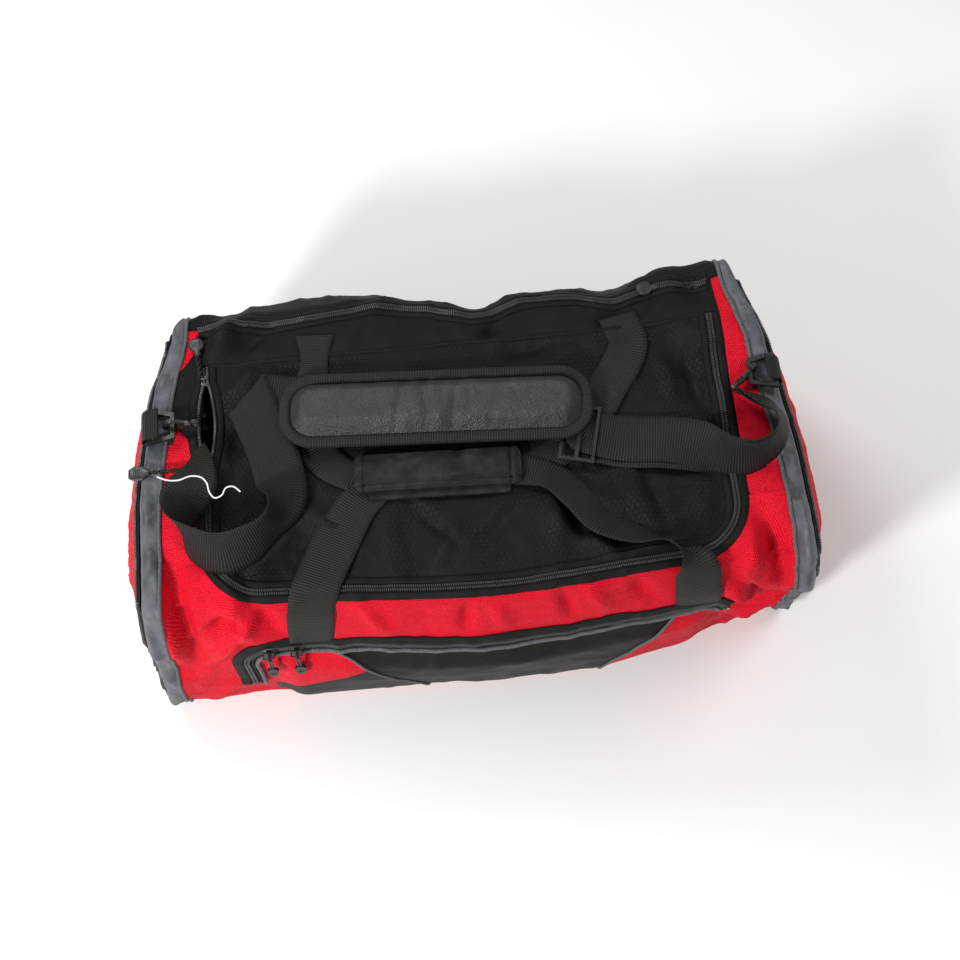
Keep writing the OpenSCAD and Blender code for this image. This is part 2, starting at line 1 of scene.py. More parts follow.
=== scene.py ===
"""A hockey equipment bag: sewn panels, zips, webbing and a padded strap, built round its CAD frame."""

import math

import bmesh
import bpy
import numpy as np
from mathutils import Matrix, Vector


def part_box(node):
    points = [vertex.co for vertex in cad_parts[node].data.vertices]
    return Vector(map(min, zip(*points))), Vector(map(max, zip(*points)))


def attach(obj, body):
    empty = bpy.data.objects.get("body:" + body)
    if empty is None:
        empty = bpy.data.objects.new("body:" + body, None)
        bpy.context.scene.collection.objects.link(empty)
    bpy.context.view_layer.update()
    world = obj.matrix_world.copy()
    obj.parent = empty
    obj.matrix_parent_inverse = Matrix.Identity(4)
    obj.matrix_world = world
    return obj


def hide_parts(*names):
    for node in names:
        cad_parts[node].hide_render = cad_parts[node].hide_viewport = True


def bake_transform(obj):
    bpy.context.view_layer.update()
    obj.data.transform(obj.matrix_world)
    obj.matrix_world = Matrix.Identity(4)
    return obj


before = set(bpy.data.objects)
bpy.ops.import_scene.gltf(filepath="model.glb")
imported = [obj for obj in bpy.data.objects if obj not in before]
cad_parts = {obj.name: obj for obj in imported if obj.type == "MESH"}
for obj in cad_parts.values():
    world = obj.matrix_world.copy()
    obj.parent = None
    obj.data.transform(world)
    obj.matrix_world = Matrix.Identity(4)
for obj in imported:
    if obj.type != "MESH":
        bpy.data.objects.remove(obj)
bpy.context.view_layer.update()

# Lengths in this script are in millimetres, and turn into metres where a mesh is made.
MM = 0.001


def box_mm(node):
    """Lowest and highest corner of a CAD node."""
    low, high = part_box(node)
    return np.array(low) / MM, np.array(high) / MM


# ---- camera ------------------------------------------------------------------------------------


def make_camera():
    data = bpy.data.cameras.new("camera")
    data.lens = 55.6
    data.sensor_width = 36.0
    camera = bpy.data.objects.new("camera", data)
    camera.location = (-0.0116, -0.645, 1.6191)
    camera.rotation_euler = (0.410, 0.024, -0.092)
    bpy.context.collection.objects.link(camera)
    bpy.context.scene.camera = camera


# ---- numbers -----------------------------------------------------------------------------------


def ease(t):
    """0 below 0, 1 above 1, smooth between."""
    t = np.clip(t, 0.0, 1.0)
    return t * t * (3.0 - 2.0 * t)


def hill(t):
    """1 at 0, falling smoothly to almost nothing at 2 on either side."""
    return np.exp(-t * t)


def dice(ix, iy, seed):
    """A fixed pseudo-random number from 0 to 1 for each lattice point."""
    h = (ix * 374761393 + iy * 668265263 + seed * 362437) & 0xFFFFFFFF
    h = ((h ^ (h >> 13)) * 1274126177) & 0xFFFFFFFF
    return ((h ^ (h >> 16)) & 0xFFFF) / 65535.0


def cloud(x, y, size, seed):
    """A smooth field from -1 to 1 with a grain of that size."""
    gx, gy = x / size + 500.0, y / size + 500.0
    ix, iy = np.floor(gx).astype(np.int64), np.floor(gy).astype(np.int64)
    fx, fy = ease(gx - ix), ease(gy - iy)
    low = dice(ix, iy, seed) * (1 - fx) + dice(ix + 1, iy, seed) * fx
    high = dice(ix, iy + 1, seed) * (1 - fx) + dice(ix + 1, iy + 1, seed) * fx
    return 2.0 * (low * (1 - fy) + high * fy) - 1.0


def ridges(x, y, size, seed):
    """Sharp wandering ridge lines, 1 on the line and about 0 away from it."""
    wander_x = x + 0.5 * size * cloud(x, y, 1.4 * size, seed + 11)
    wander_y = y + 0.5 * size * cloud(x, y, 1.4 * size, seed + 23)
    return np.clip(1.0 - 2.4 * np.abs(cloud(wander_x, wander_y, size, seed)), -0.6, 1.0)


def crumple(x, y, seed):
    """Crushed cloth: ridge lines at three scales over a soft swell."""
    return (
        0.45 * cloud(x, y, 85.0, seed)
        + 0.55 * ridges(x, y, 62.0, seed + 1)
        + 0.26 * ridges(x, y, 31.0, seed + 2)
        + 0.10 * ridges(x, y, 15.0, seed + 3)
    )


def unit(v):
    return v / np.maximum(np.linalg.norm(v, axis=-1, keepdims=True), 1e-9)


def spline(rows, step):
    """A smooth line through rows of numbers that each start with a point, sampled about every step."""
    rows = np.array(rows, float)
    padded = np.vstack([2 * rows[0] - rows[1], rows, 2 * rows[-1] - rows[-2]])
    out = []
    for i in range(len(rows) - 1):
        a, b, c, d = padded[i : i + 4]
        count = max(2, int(np.linalg.norm((c - b)[:3]) / step))
        t = np.linspace(0, 1, count, endpoint=False)[:, None]
        out.append(
            0.5 * (2 * b + (c - a) * t + (2 * a - 5 * b + 4 * c - d) * t**2 + (3 * b - a - 3 * c + d) * t**3)
        )
    out.append(rows[-1:])
    return np.vstack(out)


def lengths(points):
    """Distance along a line at each of its points."""
    return np.concatenate([[0.0], np.cumsum(np.linalg.norm(np.diff(points, axis=0), axis=1))])


def even(points, step):
    """The same line with points an even step apart."""
    s = lengths(points[:, :3])
    count = max(2, int(round(s[-1] / step)) + 1)
    at = np.linspace(0, s[-1], count)
    return np.stack([np.interp(at, s, points[:, k]) for k in range(points.shape[1])], axis=1)


# ---- materials ---------------------------------------------------------------------------------


class Shade:
    """A procedural material under construction."""

    def __init__(self, name, color, roughness, **sockets):
        self.material = bpy.data.materials.new(name)
        self.material.use_nodes = True
        self.tree = self.material.node_tree
        self.surface = self.tree.nodes["Principled BSDF"]
        self.surface.inputs["Base Color"].default_value = (*color, 1.0)
        self.surface.inputs["Roughness"].default_value = roughness
        for key, value in sockets.items():
            self.surface.inputs[key.replace("_", " ")].default_value = value

    def node(self, kind, inputs=(), output=0, **settings):
        made = self.tree.nodes.new("ShaderNode" + kind)
        for key, value in settings.items():
            setattr(made, key, value)
        for key, value in dict(inputs).items():
            if isinstance(value, bpy.types.NodeSocket):
                self.tree.links.new(value, made.inputs[key])
            else:
                made.inputs[key].default_value = value
        return made.outputs[output]

    def math(self, operation, a, b=0.0):
        return self.node("Math", {0: a, 1: b}, operation=operation)

    def vector(self, operation, a, b=(0, 0, 0), c=(0, 0, 0), output=0):
        return self.node("VectorMath", {0: a, 1: b, 2: c}, output, operation=operation)

    def place(self, kind="UV", scale=1000.0):
        """Texture coordinates in millimetres."""
        made = self.tree.nodes.new("ShaderNodeTexCoord")
        return self.vector("MULTIPLY", made.outputs[kind], (scale, scale, scale))

    def grain(self, at, size, detail=2.0, roughness=0.5):
        inputs = {"Vector": at, "Scale": 1.0 / size, "Detail": detail, "Roughness": roughness}
        return self.node("TexNoise", inputs)

    def cells(self, at, size, feature="F1"):
        return self.node("TexVoronoi", {"Vector": at, "Scale": 1.0 / size}, feature=feature)

    def ramp(self, value, low, high, to_low=0.0, to_high=1.0):
        return self.node(
            "MapRange", {0: value, 1: low, 2: high, 3: to_low, 4: to_high}, interpolation_type="SMOOTHSTEP"
        )

    def blend(self, factor, a, b):
        a = a if isinstance(a, bpy.types.NodeSocket) else (*a, 1.0)
        b = b if isinstance(b, bpy.types.NodeSocket) else (*b, 1.0)
        return self.node("Mix", {0: factor, 6: a, 7: b}, 2, data_type="RGBA")

    def bump(self, height, depth, below=None):
        """Relief of that depth in millimetres, over another relief."""
        inputs = {"Height": height, "Distance": depth * MM, "Strength": 1.0}
        if below is not None:
            inputs["Normal"] = below
        return self.node("Bump", inputs)

    def use(self, color=None, roughness=None, normal=None):
        for key, value in (("Base Color", color), ("Roughness", roughness), ("Normal", normal)):
            if value is not None:
                self.tree.links.new(value, self.surface.inputs[key])
        return self.material

    def hexagons(self, at, cell):
        """0 inside each cell of a honeycomb, rising to 1 along its walls."""
        half = (0.5, 0.8660254, 0.5)
        low = (-0.5, -0.8660254, -0.5)
        p = self.vector("MULTIPLY", at, (1.0 / cell, 1.0 / cell, 0.0))
        a = self.vector("WRAP", p, half, low)
        b = self.vector("WRAP", self.vector("ADD", p, (0.5, 0.8660254, 0.0)), half, low)
        da = self.vector("DOT_PRODUCT", a, a, output=1)
        db = self.vector("DOT_PRODUCT", b, b, output=1)
        nearest = self.node("Mix", {0: self.math("GREATER_THAN", da, db), 4: a, 5: b}, 1, data_type="VECTOR")
        q = self.vector("ABSOLUTE", nearest)
        slant = self.vector("DOT_PRODUCT", q, (0.5, 0.8660254, 0.0), output=1)
        side = self.vector("DOT_PRODUCT", q, (1.0, 0.0, 0.0), output=1)
        return self.ramp(self.math("MAXIMUM", slant, side), 0.36, 0.5)

    def threads(self, at, pitch_u, pitch_v):
        """Over and under threads of a plain weave, about -1 to 1."""
        part = self.node("SeparateXYZ", {0: at})
        u = part.node.outputs[0]
        v = part.node.outputs[1]
        over = self.math("SINE", self.math("MULTIPLY", u, 2 * math.pi / pitch_u))
        under = self.math("SINE", self.math("MULTIPLY", v, 2 * math.pi / pitch_v))
        return self.math("MULTIPLY", over, under)


def red_cloth():
    s = Shade("red_cloth", (0.60, 0.0, 0.012), 0.55, Specular_IOR_Level=0.1)
    at = s.place()
    slanted = s.node("VectorRotate", {"Vector": at, "Angle": math.radians(38)}, rotation_type="Z_AXIS")
    weave = s.threads(slanted, 3.4, 2.2)
    glint = s.cells(at, 1.1)
    dark_patches = s.grain(at, 55.0, 4.0, 0.6)
    tone = s.blend(s.ramp(glint, 0.1, 0.75), (0.74, 0.002, 0.020), (0.40, 0.0, 0.008))
    # Large random patches are painted a darker red.
    tone = s.blend(s.ramp(dark_patches, 0.3, 0.75, 0.0, 0.35), tone, (0.42, 0.0, 0.008))
    # The weave's raised threads are painted a brighter red: partly the weave's own lines, partly a painted
    # sparkle of light on them.
    tone = s.blend(s.ramp(weave, 0.0, 0.9, 0.0, 0.6), tone, (1.0, 0.03, 0.06))
    relief = s.bump(weave, 0.28)
    relief = s.bump(glint, 0.12, relief)
    relief = s.bump(s.grain(at, 18.0, 3.0), 2.0, relief)
    return s.use(tone, s.ramp(glint, 0.0, 0.8, 0.42, 0.68), relief)


def black_cloth(name="black_cloth", honeycomb=0.0):
    """Plain weave, or with a honeycomb ripstop of that cell size, whose walls are painted darker as painted
    shade.
    """
    s = Shade(name, (0.018, 0.018, 0.018), 0.62, Specular_IOR_Level=0.13)
    at = s.place()
    weave = s.threads(at, 1.3, 1.3)
    fibre = s.grain(at, 1.4, 2.0)
    wear = s.grain(at, 60.0, 5.0, 0.65)
    tone = s.blend(s.ramp(fibre, 0.3, 0.75), (0.003, 0.003, 0.003), (0.010, 0.010, 0.009))
    tone = s.blend(s.ramp(wear, 0.55, 0.8, 0.0, 0.5), tone, (0.024, 0.023, 0.021))
    relief = s.bump(weave, 0.12)
    relief = s.bump(s.grain(at, 12.0, 3.0), 0.8, relief)
    rough = s.ramp(fibre, 0.3, 0.7, 0.5, 0.7)
    if honeycomb:
        shown = s.ramp(s.grain(at, 60.0, 2.0), 0.38, 0.56, 0.3, 1.0)
        walls = s.math("MULTIPLY", s.hexagons(at, honeycomb), shown)
        relief = s.bump(walls, 0.4, relief)
        # The honeycomb's walls are painted darker in patches: painted shade in its creases.
        tone = s.blend(s.math("MULTIPLY", walls, 0.55), tone, (0.004, 0.004, 0.004))
        rough = s.ramp(walls, 0.0, 1.0, 0.42, 0.66)
    return s.use(tone, rough, relief)


def vinyl():
    s = Shade("grey_vinyl", (0.100, 0.104, 0.125), 0.45, Specular_IOR_Level=0.4)
    at = s.place()
    mottled = s.grain(at, 40.0, 5.0, 0.6)
    pores = s.cells(at, 0.9)
    tone = s.blend(s.ramp(mottled, 0.35, 0.7), (0.048, 0.050, 0.060), (0.108, 0.112, 0.128))
    relief = s.bump(pores, 0.07)
    relief = s.bump(s.grain(at, 9.0, 4.0), 1.1, relief)
    return s.use(tone, s.ramp(mottled, 0.3, 0.7, 0.40, 0.58), relief)


def piping_cloth():
    s = Shade("grey_piping", (0.10, 0.10, 0.11), 0.5, Specular_IOR_Level=0.3)
    at = s.place()
    tone = s.blend(s.ramp(s.grain(at, 2.0), 0.35, 0.7), (0.072, 0.073, 0.080), (0.125, 0.126, 0.135))
    return s.use(tone, None, s.bump(s.threads(at, 1.2, 1.6), 0.15))


def webbing_cloth(name="webbing", dark=(0.004, 0.004, 0.004), light=(0.022, 0.022, 0.020)):
    """Ribs across the strap, each a row of small crossing threads."""
    s = Shade(name, light, 0.55, Specular_IOR_Level=0.2)
    at = s.place()
    part = s.node("SeparateXYZ", {0: at})
    along = part.node.outputs[1]
    rib = s.math("SINE", s.math("MULTIPLY", along, 2 * math.pi / 2.6))
    dots = s.threads(at, 2.2, 2.6)
    fuzz = s.grain(at, 1.0, 3.0)
    worn = s.grain(at, 45.0, 3.0)
    tone = s.blend(s.ramp(rib, -0.6, 0.9), dark, light)
    tone = s.blend(s.ramp(dots, 0.45, 0.95, 0.0, 0.5), tone, (0.055, 0.055, 0.051))
    tone = s.blend(s.ramp(worn, 0.5, 0.8, 0.0, 0.3), tone, (0.034, 0.033, 0.030))
    relief = s.bump(rib, 0.35)
    relief = s.bump(dots, 0.2, relief)
    relief = s.bump(fuzz, 0.1, relief)
    return s.use(tone, s.ramp(fuzz, 0.3, 0.7, 0.45, 0.65), relief)


def leatherette():
    s = Shade("pad_leatherette", (0.055, 0.058, 0.057), 0.38)
    at = s.place("Object")
    pebble = s.cells(at, 1.5)
    coarse = s.cells(at, 3.1, "SMOOTH_F1")
    worn = s.grain(at, 30.0, 4.0, 0.6)
    tone = s.blend(s.ramp(worn, 0.4, 0.75), (0.018, 0.019, 0.019), (0.044, 0.045, 0.043))
    tone = s.blend(s.ramp(pebble, 0.35, 0.7), tone, (0.018, 0.018, 0.018))
    relief = s.bump(pebble, -0.6)
    relief = s.bump(coarse, -0.4, relief)
    return s.use(tone, s.ramp(pebble, 0.1, 0.7, 0.28, 0.6), relief)


def knit_cloth():
    s = Shade("wrap_knit", (0.018, 0.018, 0.018), 0.7, Specular_IOR_Level=0.15)
    at = s.place("Object")
    knit = s.cells(at, 1.2)
    worn = s.grain(at, 22.0, 4.0, 0.6)
    tone = s.blend(s.ramp(worn, 0.35, 0.75), (0.010, 0.010, 0.010), (0.026, 0.026, 0.026))
    relief = s.bump(knit, -0.35)
    relief = s.bump(s.grain(at, 7.0, 3.0), 0.8, relief)
    return s.use(tone, None, relief)


def moulded(name, color, roughness, wear):
    """Moulded plastic, rubber or lacquered metal with faint flow marks and scuffs."""
    s = Shade(name, color, roughness)
    at = s.place("Object")
    flow = s.grain(at, 6.0, 4.0)
    scuff = s.grain(at, 1.6, 5.0, 0.7)
    worn = tuple(min(1.0, 3.5 * c + 0.03) for c in color)
    tone = s.blend(s.ramp(scuff, 0.58, 0.75, 0.0, wear), color, worn)
    relief = s.bump(flow, 0.06)
    relief = s.bump(scuff, 0.04, relief)
    return s.use(tone, s.ramp(flow, 0.3, 0.7, 0.8 * roughness, 1.25 * roughness), relief)


def cotton():
    s = Shade("thread_cotton", (0.80, 0.79, 0.75), 0.8, Sheen_Weight=0.3)
    at = s.place("Object")
    twist = s.grain(at, 0.6, 2.0)
    tone = s.blend(s.ramp(twist, 0.3, 0.7), (0.62, 0.61, 0.57), (0.90, 0.89, 0.86))
    return s.use(tone, None, s.bump(twist, 0.2))


RED = red_cloth()
BLACK = black_cloth()
HONEYCOMB = black_cloth("honeycomb_ripstop", 5.2)
POCKET = black_cloth("pocket_ripstop", 4.2)
VINYL = vinyl()
PIPING = piping_cloth()
WEBBING = webbing_cloth()
BINDING = webbing_cloth("binding_tape", (0.008, 0.008, 0.008), (0.022, 0.022, 0.021))
TAPE = black_cloth("zip_tape")
TEETH = moulded("zip_teeth", (0.050, 0.050, 0.050), 0.36, 0.2)
PLASTIC = moulded("black_plastic", (0.010, 0.010, 0.010), 0.45, 0.15)
RUBBER = moulded("pull_rubber", (0.016, 0.017, 0.017), 0.42, 0.15)
LACQUER = moulded("slider_lacquer", (0.010, 0.010, 0.010), 0.36, 0.4)
LEATHERETTE = leatherette()
KNIT = knit_cloth()
COTTON = cotton()
BOARD = moulded("stiff_board", (0.05, 0.05, 0.05), 0.6, 0.3)

# The cloth of the shell's panels, by CAD slot. The lid is ripstop too, but its honeycomb is larger.
SHELL_CLOTH = {"red_ripstop": RED, "black_fabric": BLACK, "black_ripstop": POCKET}
SIDES = ((-1, "left"), (1, "right"))


# ---- meshes ------------------------------------------------------------------------------------


def add_mesh(name, points, faces, material, uv=None):
    mesh = bpy.data.meshes.new(name)
    mesh.from_pydata((np.asarray(points, float) * MM).tolist(), [], faces)
    mesh.materials.append(material)
    mesh.polygons.foreach_set("use_smooth", [True] * len(mesh.polygons))
    if uv is not None:
        index = np.empty(len(mesh.loops), np.int32)
        mesh.loops.foreach_get("vertex_index", index)
        layer = mesh.uv_layers.new(name="UVMap")
        layer.data.foreach_set("uv", (np.asarray(uv, float)[index] * MM).astype(np.float32).ravel())
    obj = bpy.data.objects.new(name, mesh)
    bpy.context.collection.objects.link(obj)
    return obj


def place(obj, slot, body, *nodes):
    """Gives a piece its body, and hides the CAD nodes it stands for. The slot is not used."""
    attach(obj, body)
    if nodes:
        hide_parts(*nodes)
    return obj


def stretch(obj, slot, body, start, end, *nodes):
    """A soft piece: hides the CAD nodes it stands for and bakes its transform into its mesh. Its body, start
    and end are not used.
    """
    if nodes:
        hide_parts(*nodes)
    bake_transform(obj)


def thicken(obj, thickness):
    """Gives a cloth surface its thickness, inward."""
    modifier = obj.modifiers.new("thickness", "SOLIDIFY")
    modifier.thickness = thickness * MM
    modifier.offset = -1.0
    return obj


def grid_faces(rows, cols, around=False, first=0):
    """Quads of a rows by cols grid of points, joined up across the columns if around."""
    i, j = np.meshgrid(np.arange(rows - 1), np.arange(cols if around else cols - 1), indexing="ij")
    k = (j + 1) % cols
    quads = np.stack([i * cols + j, i * cols + k, (i + 1) * cols + k, (i + 1) * cols + j], axis=-1)
    return (quads.reshape(-1, 4) + first).tolist()


def frames(points, normals, closed=False):
    """Tangent, sideways and outward directions along a line."""
    if closed:
        tangent = unit(np.roll(points, -1, axis=0) - np.roll(points, 1, axis=0))
    else:
        tangent = unit(np.gradient(points, axis=0))
    across = unit(np.cross(normals, tangent))
    return tangent, across, unit(np.cross(tangent, across))


def sweep(points, normals, section, closed=False):
    """Points and faces of a closed cross-section of (sideways, outward) rows, carried along a line."""
    _, across, out = frames(points, normals, closed)
    section = np.asarray(section, float)
    if section.ndim == 2:
        section = np.broadcast_to(section, (len(points), *section.shape))
    rings = points[:, None, :] + across[:, None, :] * section[:, :, :1] + out[:, None, :] * section[:, :, 1:]
    rows, cols = rings.shape[:2]
    faces = grid_faces(rows, cols, around=True)
    if closed:
        last = (rows - 1) * cols
        faces += [[last + k, last + (k + 1) % cols, (k + 1) % cols, k] for k in range(cols)]
    else:
        faces.append(list(range(cols))[::-1])
        faces.append([(rows - 1) * cols + k for k in range(cols)])
    s = lengths(points)
    edge = lengths(section[0])
    uv = np.stack([np.tile(edge, rows), np.repeat(s, cols)], axis=1)
    return rings.reshape(-1, 3), faces, uv


def circle(radius, count=10):
    angle = np.linspace(0, 2 * math.pi, count, endpoint=False)
    return np.stack([radius * np.cos(angle), radius * np.sin(angle)], axis=1)


def flat_section(width, thick, cup=0.0, count=9):
    """A webbing's cross-section with rounded selvedges, cupped up at its edges by that much."""
    u = np.linspace(-0.5, 0.5, count)
    lift = cup * (2 * u) ** 2
    edge = np.clip((0.5 - np.abs(u)) / 0.02, 0.0, 1.0)
    half = thick / 2 * np.sqrt(np.clip(edge, 0.25, 1.0))
    top = np.stack([u * width, lift + half], axis=1)
    bottom = np.stack([u * width, lift - half], axis=1)
    return np.vstack([top[::-1], bottom])


def ribbon(name, route, material, thick=1.8, step=3.0, wave=0.0):
    """Flat webbing along rows of (point, width direction, width), which may wave up and down."""
    rows = [[*point, *unit(np.array(side, float)), width] for point, side, width in route]
    line = even(spline(rows, step), step)
    points, side, width = line[:, :3], unit(line[:, 3:6]), line[:, 6]
    tangent = unit(np.gradient(points, axis=0))
    normal = unit(np.cross(tangent, side))
    s = lengths(points)
    if wave:
        points = points + normal * (wave * cloud(s, 0 * s, 30.0, 5))[:, None]
    section = np.stack([flat_section(w, thick) for w in width])
    across = unit(np.cross(normal, tangent))
    flip = np.where(np.sum(across * side, axis=1, keepdims=True) < 0, -1.0, 1.0)
    section = section * np.stack([flip, np.ones_like(flip)], axis=-1)
    verts, faces, uv = sweep(points, normal, section)
    cols = section.shape[1]
    uv[:, 0] = np.tile(section[0, :, 0], len(points))
    uv[:, 1] = np.repeat(s, cols)
    return add_mesh(name, verts, faces, material, uv)


# ---- the bag's skin ----------------------------------------------------------------------------
# A place on the skin is (x, v): x along the bag and v round it. On the top v is the depth y; it
# runs on down the front wall below and down the rear wall above.

FRONT_Y = box_mm("front_panel")[0][1]
REAR_Y = box_mm("rear_panel")[1][1]
TOP_Z = box_mm("front_panel")[1][2]
END_X = 340.0
END_LEAN = math.tan(math.radians(5))
END_TURN = math.tan(math.radians(4))


def make_profile():
    """Depth and height of the wall, sampled every millimetre and rounded at its corners."""
    front = [(24, 1.5), (9, 4), (1, 60), (0, 110), (3, 165), (9, 215), (22, TOP_Z - 3), (44, TOP_Z + 1)]
    rear = [(36, TOP_Z + 1), (18, TOP_Z - 3), (7, 222), (0, 131), (3, 6), (18, 1.5)]
    corners = np.array([(FRONT_Y + y, z) for y, z in front] + [(REAR_Y - y, z) for y, z in rear])
    line = even(corners, 1.0)
    reach = 14
    kernel = np.hanning(2 * reach + 3)[1:-1]
    kernel /= kernel.sum()
    ahead = line[0] + (line[0] - line[1]) * np.arange(reach, 0, -1)[:, None]
    behind = line[-1] + (line[-1] - line[-2]) * np.arange(1, reach + 1)[:, None]
    padded = np.vstack([ahead, line, behind])
    line = np.stack([np.convolve(padded[:, k], kernel, "valid") for k in range(2)], axis=1)
    tangent = unit(np.gradient(line, axis=0))
    s = lengths(line)
    middle = np.interp(0.0, line[:, 0], s)
    return s - middle, line, np.stack([-tangent[:, 1], tangent[:, 0]], axis=1)


PROFILE_V, PROFILE, PROFILE_OUT = make_profile()
V_FRONT, V_REAR = PROFILE_V[0], PROFILE_V[-1]


def along_wall(table, v):
    return np.stack([np.interp(v, PROFILE_V, table[:, k]) for k in range(2)], axis=-1)


def end_edge(v):
    """How far out the end's plane is where it meets the wall."""
    wall = along_wall(PROFILE, v)
    return END_X - END_LEAN * wall[..., 1] - END_TURN * wall[..., 0]


def v_at_height(z):
    """The place on the front wall at a height."""
    front = PROFILE_V < 0
    return np.interp(z, PROFILE[front, 1], PROFILE_V[front])


# Folds pressed into the skin: from (x, v) to (x, v), then height and half width. A height is in
# units of FOLD_DEPTH millimetres, and a fold that goes in has a negative one.
FOLD_DEPTH = 1.9
FOLDS = [
    # left of the front wall
    (-294, -112, -292, -272, -10.0, 9),
    (-309, -120, -306, -262, 5.0, 8),
    (-288, -276, -222, -172, 7.0, 9),
    (-262, -180, -250, -200, -8.0, 22),
    (-226, -148, -198, -224, -6.0, 8),
    (-246, -150, -222, -236, 6.0, 10),
    (-292, -292, -205, -268, 4.5, 8),
    (-270, -122, -235, -150, 5.0, 9),
    (-262, -330, -300, -400, 5.0, 10),
    # right of the front wall
    (284, -118, 302, -205, -9.0, 9),
    (268, -132, 258, -215, 8.0, 10),
    (314, -118, 320, -215, 6.0, 8),
    (246, -172, 286, -246, -7.0, 8),
    (230, -186, 300, -266, 6.0, 9),
    (300, -258, 228, -296, -6.0, 9),
    (322, -250, 262, -330, 7.0, 10),
    (240, -150, 262, -168, -5.0, 8),
    (300, -330, 322, -400, -6.0, 10),
    # between the lid's zip and the front pocket
    (-14, -170, -18, -212, -4.0, 7),
    (12, -168, 22, -212, 3.0, 8),
    (78, -164, 90, -212, -5.0, 7),
    (104, -160, 126, -206, 4.0, 8),
    (-120, -160, -96, -214, 3.5, 9),
    (150, -168, 168, -206, -4.0, 8),
    # lid
    (78, -36, 106, -112, -8.0, 6),
    (62, -44, 88, -112, 5.0, 11),
    (150, -92, 178, -84, 7.0, 40),
    (104, -118, 136, -139, 6.0, 9),
    (136, -139, 206, -134, 6.0, 9),
    (-18, -108, -58, -74, -4.0, 6),
    (-46, -132, -16, -92, 3.0, 8),
    (4, -112, 40, -84, -3.0, 7),
    (242, 2, 232, 62, -4.5, 7),
    (216, 10, 206, 66, 4.5, 9),
    (238, -60, 214, -40, -4.0, 8),
    (-240, 66, -206, 94, 4.0, 10),
    (-226, 34, -244, -28, -5.0, 9),
    (-120, -100, -178, -62, 4.0, 12),
    (-206, 98, -150, 84, -3.5, 8),
    (30, 84, 110, 92, -3.5, 9),
    # rear strip and rear wall
    (-252, 118, -226, 150, 6.0, 9),
    (-232, 112, -196, 138, -6.0, 8),
    (-120, 108, -92, 134, 3.0, 9),
    (30, 104, 44, 134, -5.0, 9),
    (150, 106, 172, 138, -4.0, 8),
    (196, 104, 226, 130, 4.0, 9),
    (205, 168, 290, 170, 9.0, 24),
    (-236, 186, -70, 190, 11.0, 24),
    (20, 172, 40, 300, -8.0, 20),
    (120, 190, 200, 200, 7.0, 24),
    (-280, 200, -240, 330, -6.0, 14),
    (-90, 230, -60, 360, -6.0, 14),
    (210, 240, 250, 380, -6.0, 14),
]

# Where hardware or a strap keeps its CAD place, so that the skin lies smooth: (x, v, reach).
QUIET = [
    (-263, 84, 30),
    (-263, -16, 30),
    (252, 144, 26),
    (-318, 32, 18),
    (318, 32, 18),
    (216, -190, 40),
    (-170, -190, 30),
    (-216, -240, 20),
    (-252, -300, 58),
    (66, -56, 34),
]


def fold_height(x, v):
    total = np.zeros_like(x)
    for x0, v0, x1, v1, height, width in FOLDS:
        dx, dv = x1 - x0, v1 - v0
        t = np.clip(((x - x0) * dx + (v - v0) * dv) / (dx * dx + dv * dv), 0.0, 1.0)
        away = np.hypot(x - x0 - t * dx, v - v0 - t * dv)
        taper = 0.35 + 0.65 * np.sin(math.pi * np.clip(t, 0.0, 1.0))
        total += FOLD_DEPTH * height * taper * hill(away / width)
    return total


def calm(x, v):
    """1 on free cloth, 0 at the hardware."""
    out = np.ones_like(x)
    for qx, qv, reach in QUIET:
        out *= 1.0 - hill(np.hypot(x - qx, v - qv) / reach)
    return out


def swell(x, v):
    """Outward height of the cloth over its plain form."""
    on_front = ease((-150.0 - v) / 25.0)
    on_ends = ease((np.abs(x) - 215.0) / 45.0)
    on_lid = (1.0 - ease((np.abs(x) - 235.0) / 25.0)) * (1.0 - on_front)
    under_straps = hill((x + 20.0) / 170.0) * hill((v - 5.0) / 75.0)
    amount = 3.0 + 7.0 * on_front * on_ends + 4.0 * on_ends * (1 - on_front) + 2.0 * on_lid
    amount = amount * (1.0 - 0.75 * under_straps * on_lid)
    low = ease((v - V_FRONT) / 40.0) * ease((V_REAR - v) / 40.0)
    return amount * low * crumple(x, v, 7)


def tuck(x, v):
    """How far the foot of the front wall is drawn in towards the right end."""
    return 46.0 * np.clip((x - 120.0) / 210.0, 0.0, 1.0) ** 1.2 * ease((-195.0 - v) / 170.0)


def shift(x, v):
    """How far the slack skin lies from its plain form: outward, sideways, in depth and upward."""
    free = calm(x, v)
    height = (swell(x, v) + fold_height(x, v)) * free
    corner = ease((np.abs(x) - 262.0) / 44.0)
    rear_corner = ease((v - 70.0) / 90.0) * ease((300.0 - v) / 120.0)
    side = np.sign(x) * corner * (11.0 * hill((v + 30.0) / 105.0) - 12.0 * rear_corner)
    bow = hill((x - 15.0) / 150.0) * ease((-30.0 - v) / 110.0) * ease((v - V_FRONT) / 170.0)
    wave = 9.0 * hill((x + 90.0) / 55.0) - 14.0 * hill((x - 22.0) / 38.0) - 11.0 * hill((x - 166.0) / 28.0)
    depth = -15.0 * bow + wave * ease((v - 102.0) / 34.0) * ease((330.0 - v) / 120.0) + tuck(x, v)
    raised = 16.0 * ease((x - 190.0) / 80.0) * ease((v - 20.0) / 90.0) * ease((230.0 - v) / 90.0)
    return height, side, depth, raised * free


